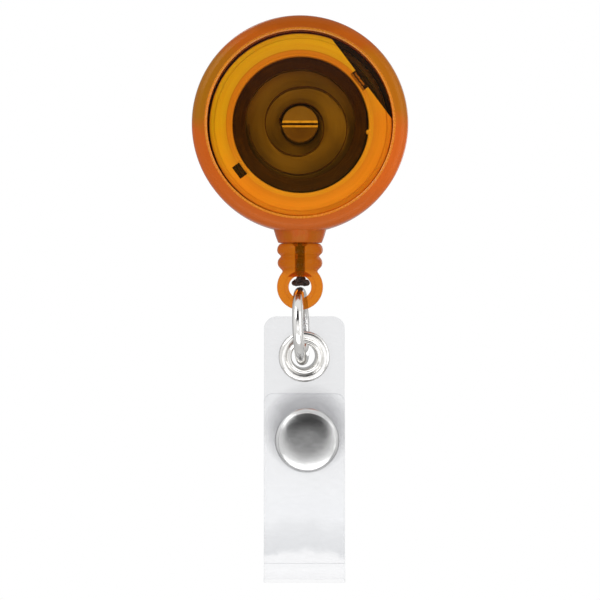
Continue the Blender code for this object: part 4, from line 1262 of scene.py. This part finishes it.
def front_panel():
    """A wide soft panel over the camera, which only the bright wire and rings reflect."""
    panel = lamp("front_panel", (0.0, -0.60, 0.0), (0, 0, -0.03), 0.42, 0.30, 1.0)
    bright = bpy.data.collections.new("bright_metal")
    for name in ("link_ring_wire", "eyelet_barrel"):
        bright.objects.link(bpy.data.objects[name])
    panel.light_linking.receiver_collection = bright


def surroundings():
    """A white room, darker in front, that the camera itself sees as plain white."""
    world = bpy.data.worlds.new("studio")
    bpy.context.scene.world = world
    world.use_nodes = True
    tree = world.node_tree
    tree.nodes.clear()

    def add(kind):
        return tree.nodes.new("ShaderNode" + kind)

    direction = add("TexCoord").outputs["Generated"]
    aim = add("VectorMath")
    aim.operation = "DOT_PRODUCT"
    rise = math.radians(24.0)
    aim.inputs[1].default_value = (0.0, -math.cos(rise), math.sin(rise))
    tree.links.new(direction, aim.inputs[0])
    ramp = add("ValToRGB")
    to_unit = add("MapRange")
    to_unit.inputs[1].default_value, to_unit.inputs[2].default_value = 0.5, 1.0
    tree.links.new(aim.outputs["Value"], to_unit.inputs[0])
    tree.links.new(to_unit.outputs[0], ramp.inputs[0])
    stops = [(0.0, 1.0), (0.60, 1.0), (0.72, 0.80), (0.80, 0.35), (0.88, 0.05), (1.0, 0.03)]
    elements = ramp.color_ramp.elements
    while len(elements) < len(stops):
        elements.new(1.0)
    for element, (position, value) in zip(elements, stops):
        element.position = position
        element.color = (value, value, value, 1.0)
    parts = add("SeparateXYZ")
    tree.links.new(direction, parts.inputs[0])
    behind = add("MapRange")
    for socket, value in zip(list(behind.inputs)[1:5], (-0.1, 0.6, 1.0, 0.45)):
        socket.default_value = value
    tree.links.new(parts.outputs["Y"], behind.inputs[0])
    dimmed = add("VectorMath")
    dimmed.operation = "SCALE"
    tree.links.new(ramp.outputs[0], dimmed.inputs[0])
    tree.links.new(behind.outputs[0], dimmed.inputs[3])
    seen = add("LightPath")
    soft, plain, mixed, output = add("Background"), add("Background"), add("MixShader"), add("OutputWorld")
    tree.links.new(dimmed.outputs[0], soft.inputs[0])
    plain.inputs[0].default_value = (1.0, 1.0, 1.0, 1.0)
    plain.inputs[1].default_value = 1.0
    tree.links.new(seen.outputs["Is Camera Ray"], mixed.inputs[0])
    tree.links.new(soft.outputs[0], mixed.inputs[1])
    tree.links.new(plain.outputs[0], mixed.inputs[2])
    tree.links.new(mixed.outputs[0], output.inputs[0])


def studio_floor():
    mesh = bpy.data.meshes.new("studio_floor")
    shape = bmesh.new()
    bmesh.ops.create_grid(shape, x_segments=2, y_segments=2, size=1.6)
    shape.to_mesh(mesh)
    shape.free()
    ground = bpy.data.objects.new("studio_floor", mesh)
    ground.location = (0.0, 0.0, -0.82)
    bpy.context.scene.collection.objects.link(ground)
    paint(ground, studio_floor_material())


def studio():
    surroundings()
    lamp("key", (-0.36, -0.36, 0.34), (0, 0, -0.02), 0.30, 0.30, 3.6)
    lamp("fill", (0.46, -0.30, 0.05), (0, 0, -0.03), 0.22, 0.50, 1.8)
    lamp("low", (0.0, -0.40, -0.34), (0, 0, -0.04), 0.70, 0.22, 2.2)
    lamp("edge", (-0.20, 0.42, 0.46), (0, 0, 0), 0.24, 0.24, 3.0)
    lamp("back", (0.30, 0.44, 0.10), (0, 0, -0.02), 0.20, 0.40, 1.4)
    front_panel()
    studio_floor()
    bpy.context.scene.view_settings.view_transform = "Standard"


camera()
cord()
front_cover()
back_cover()
drum()
springs()
cord_anchor()
cord_knot()
fitting()
ring()
strap()
eyelet()
snap()
belt_clip()
studio()
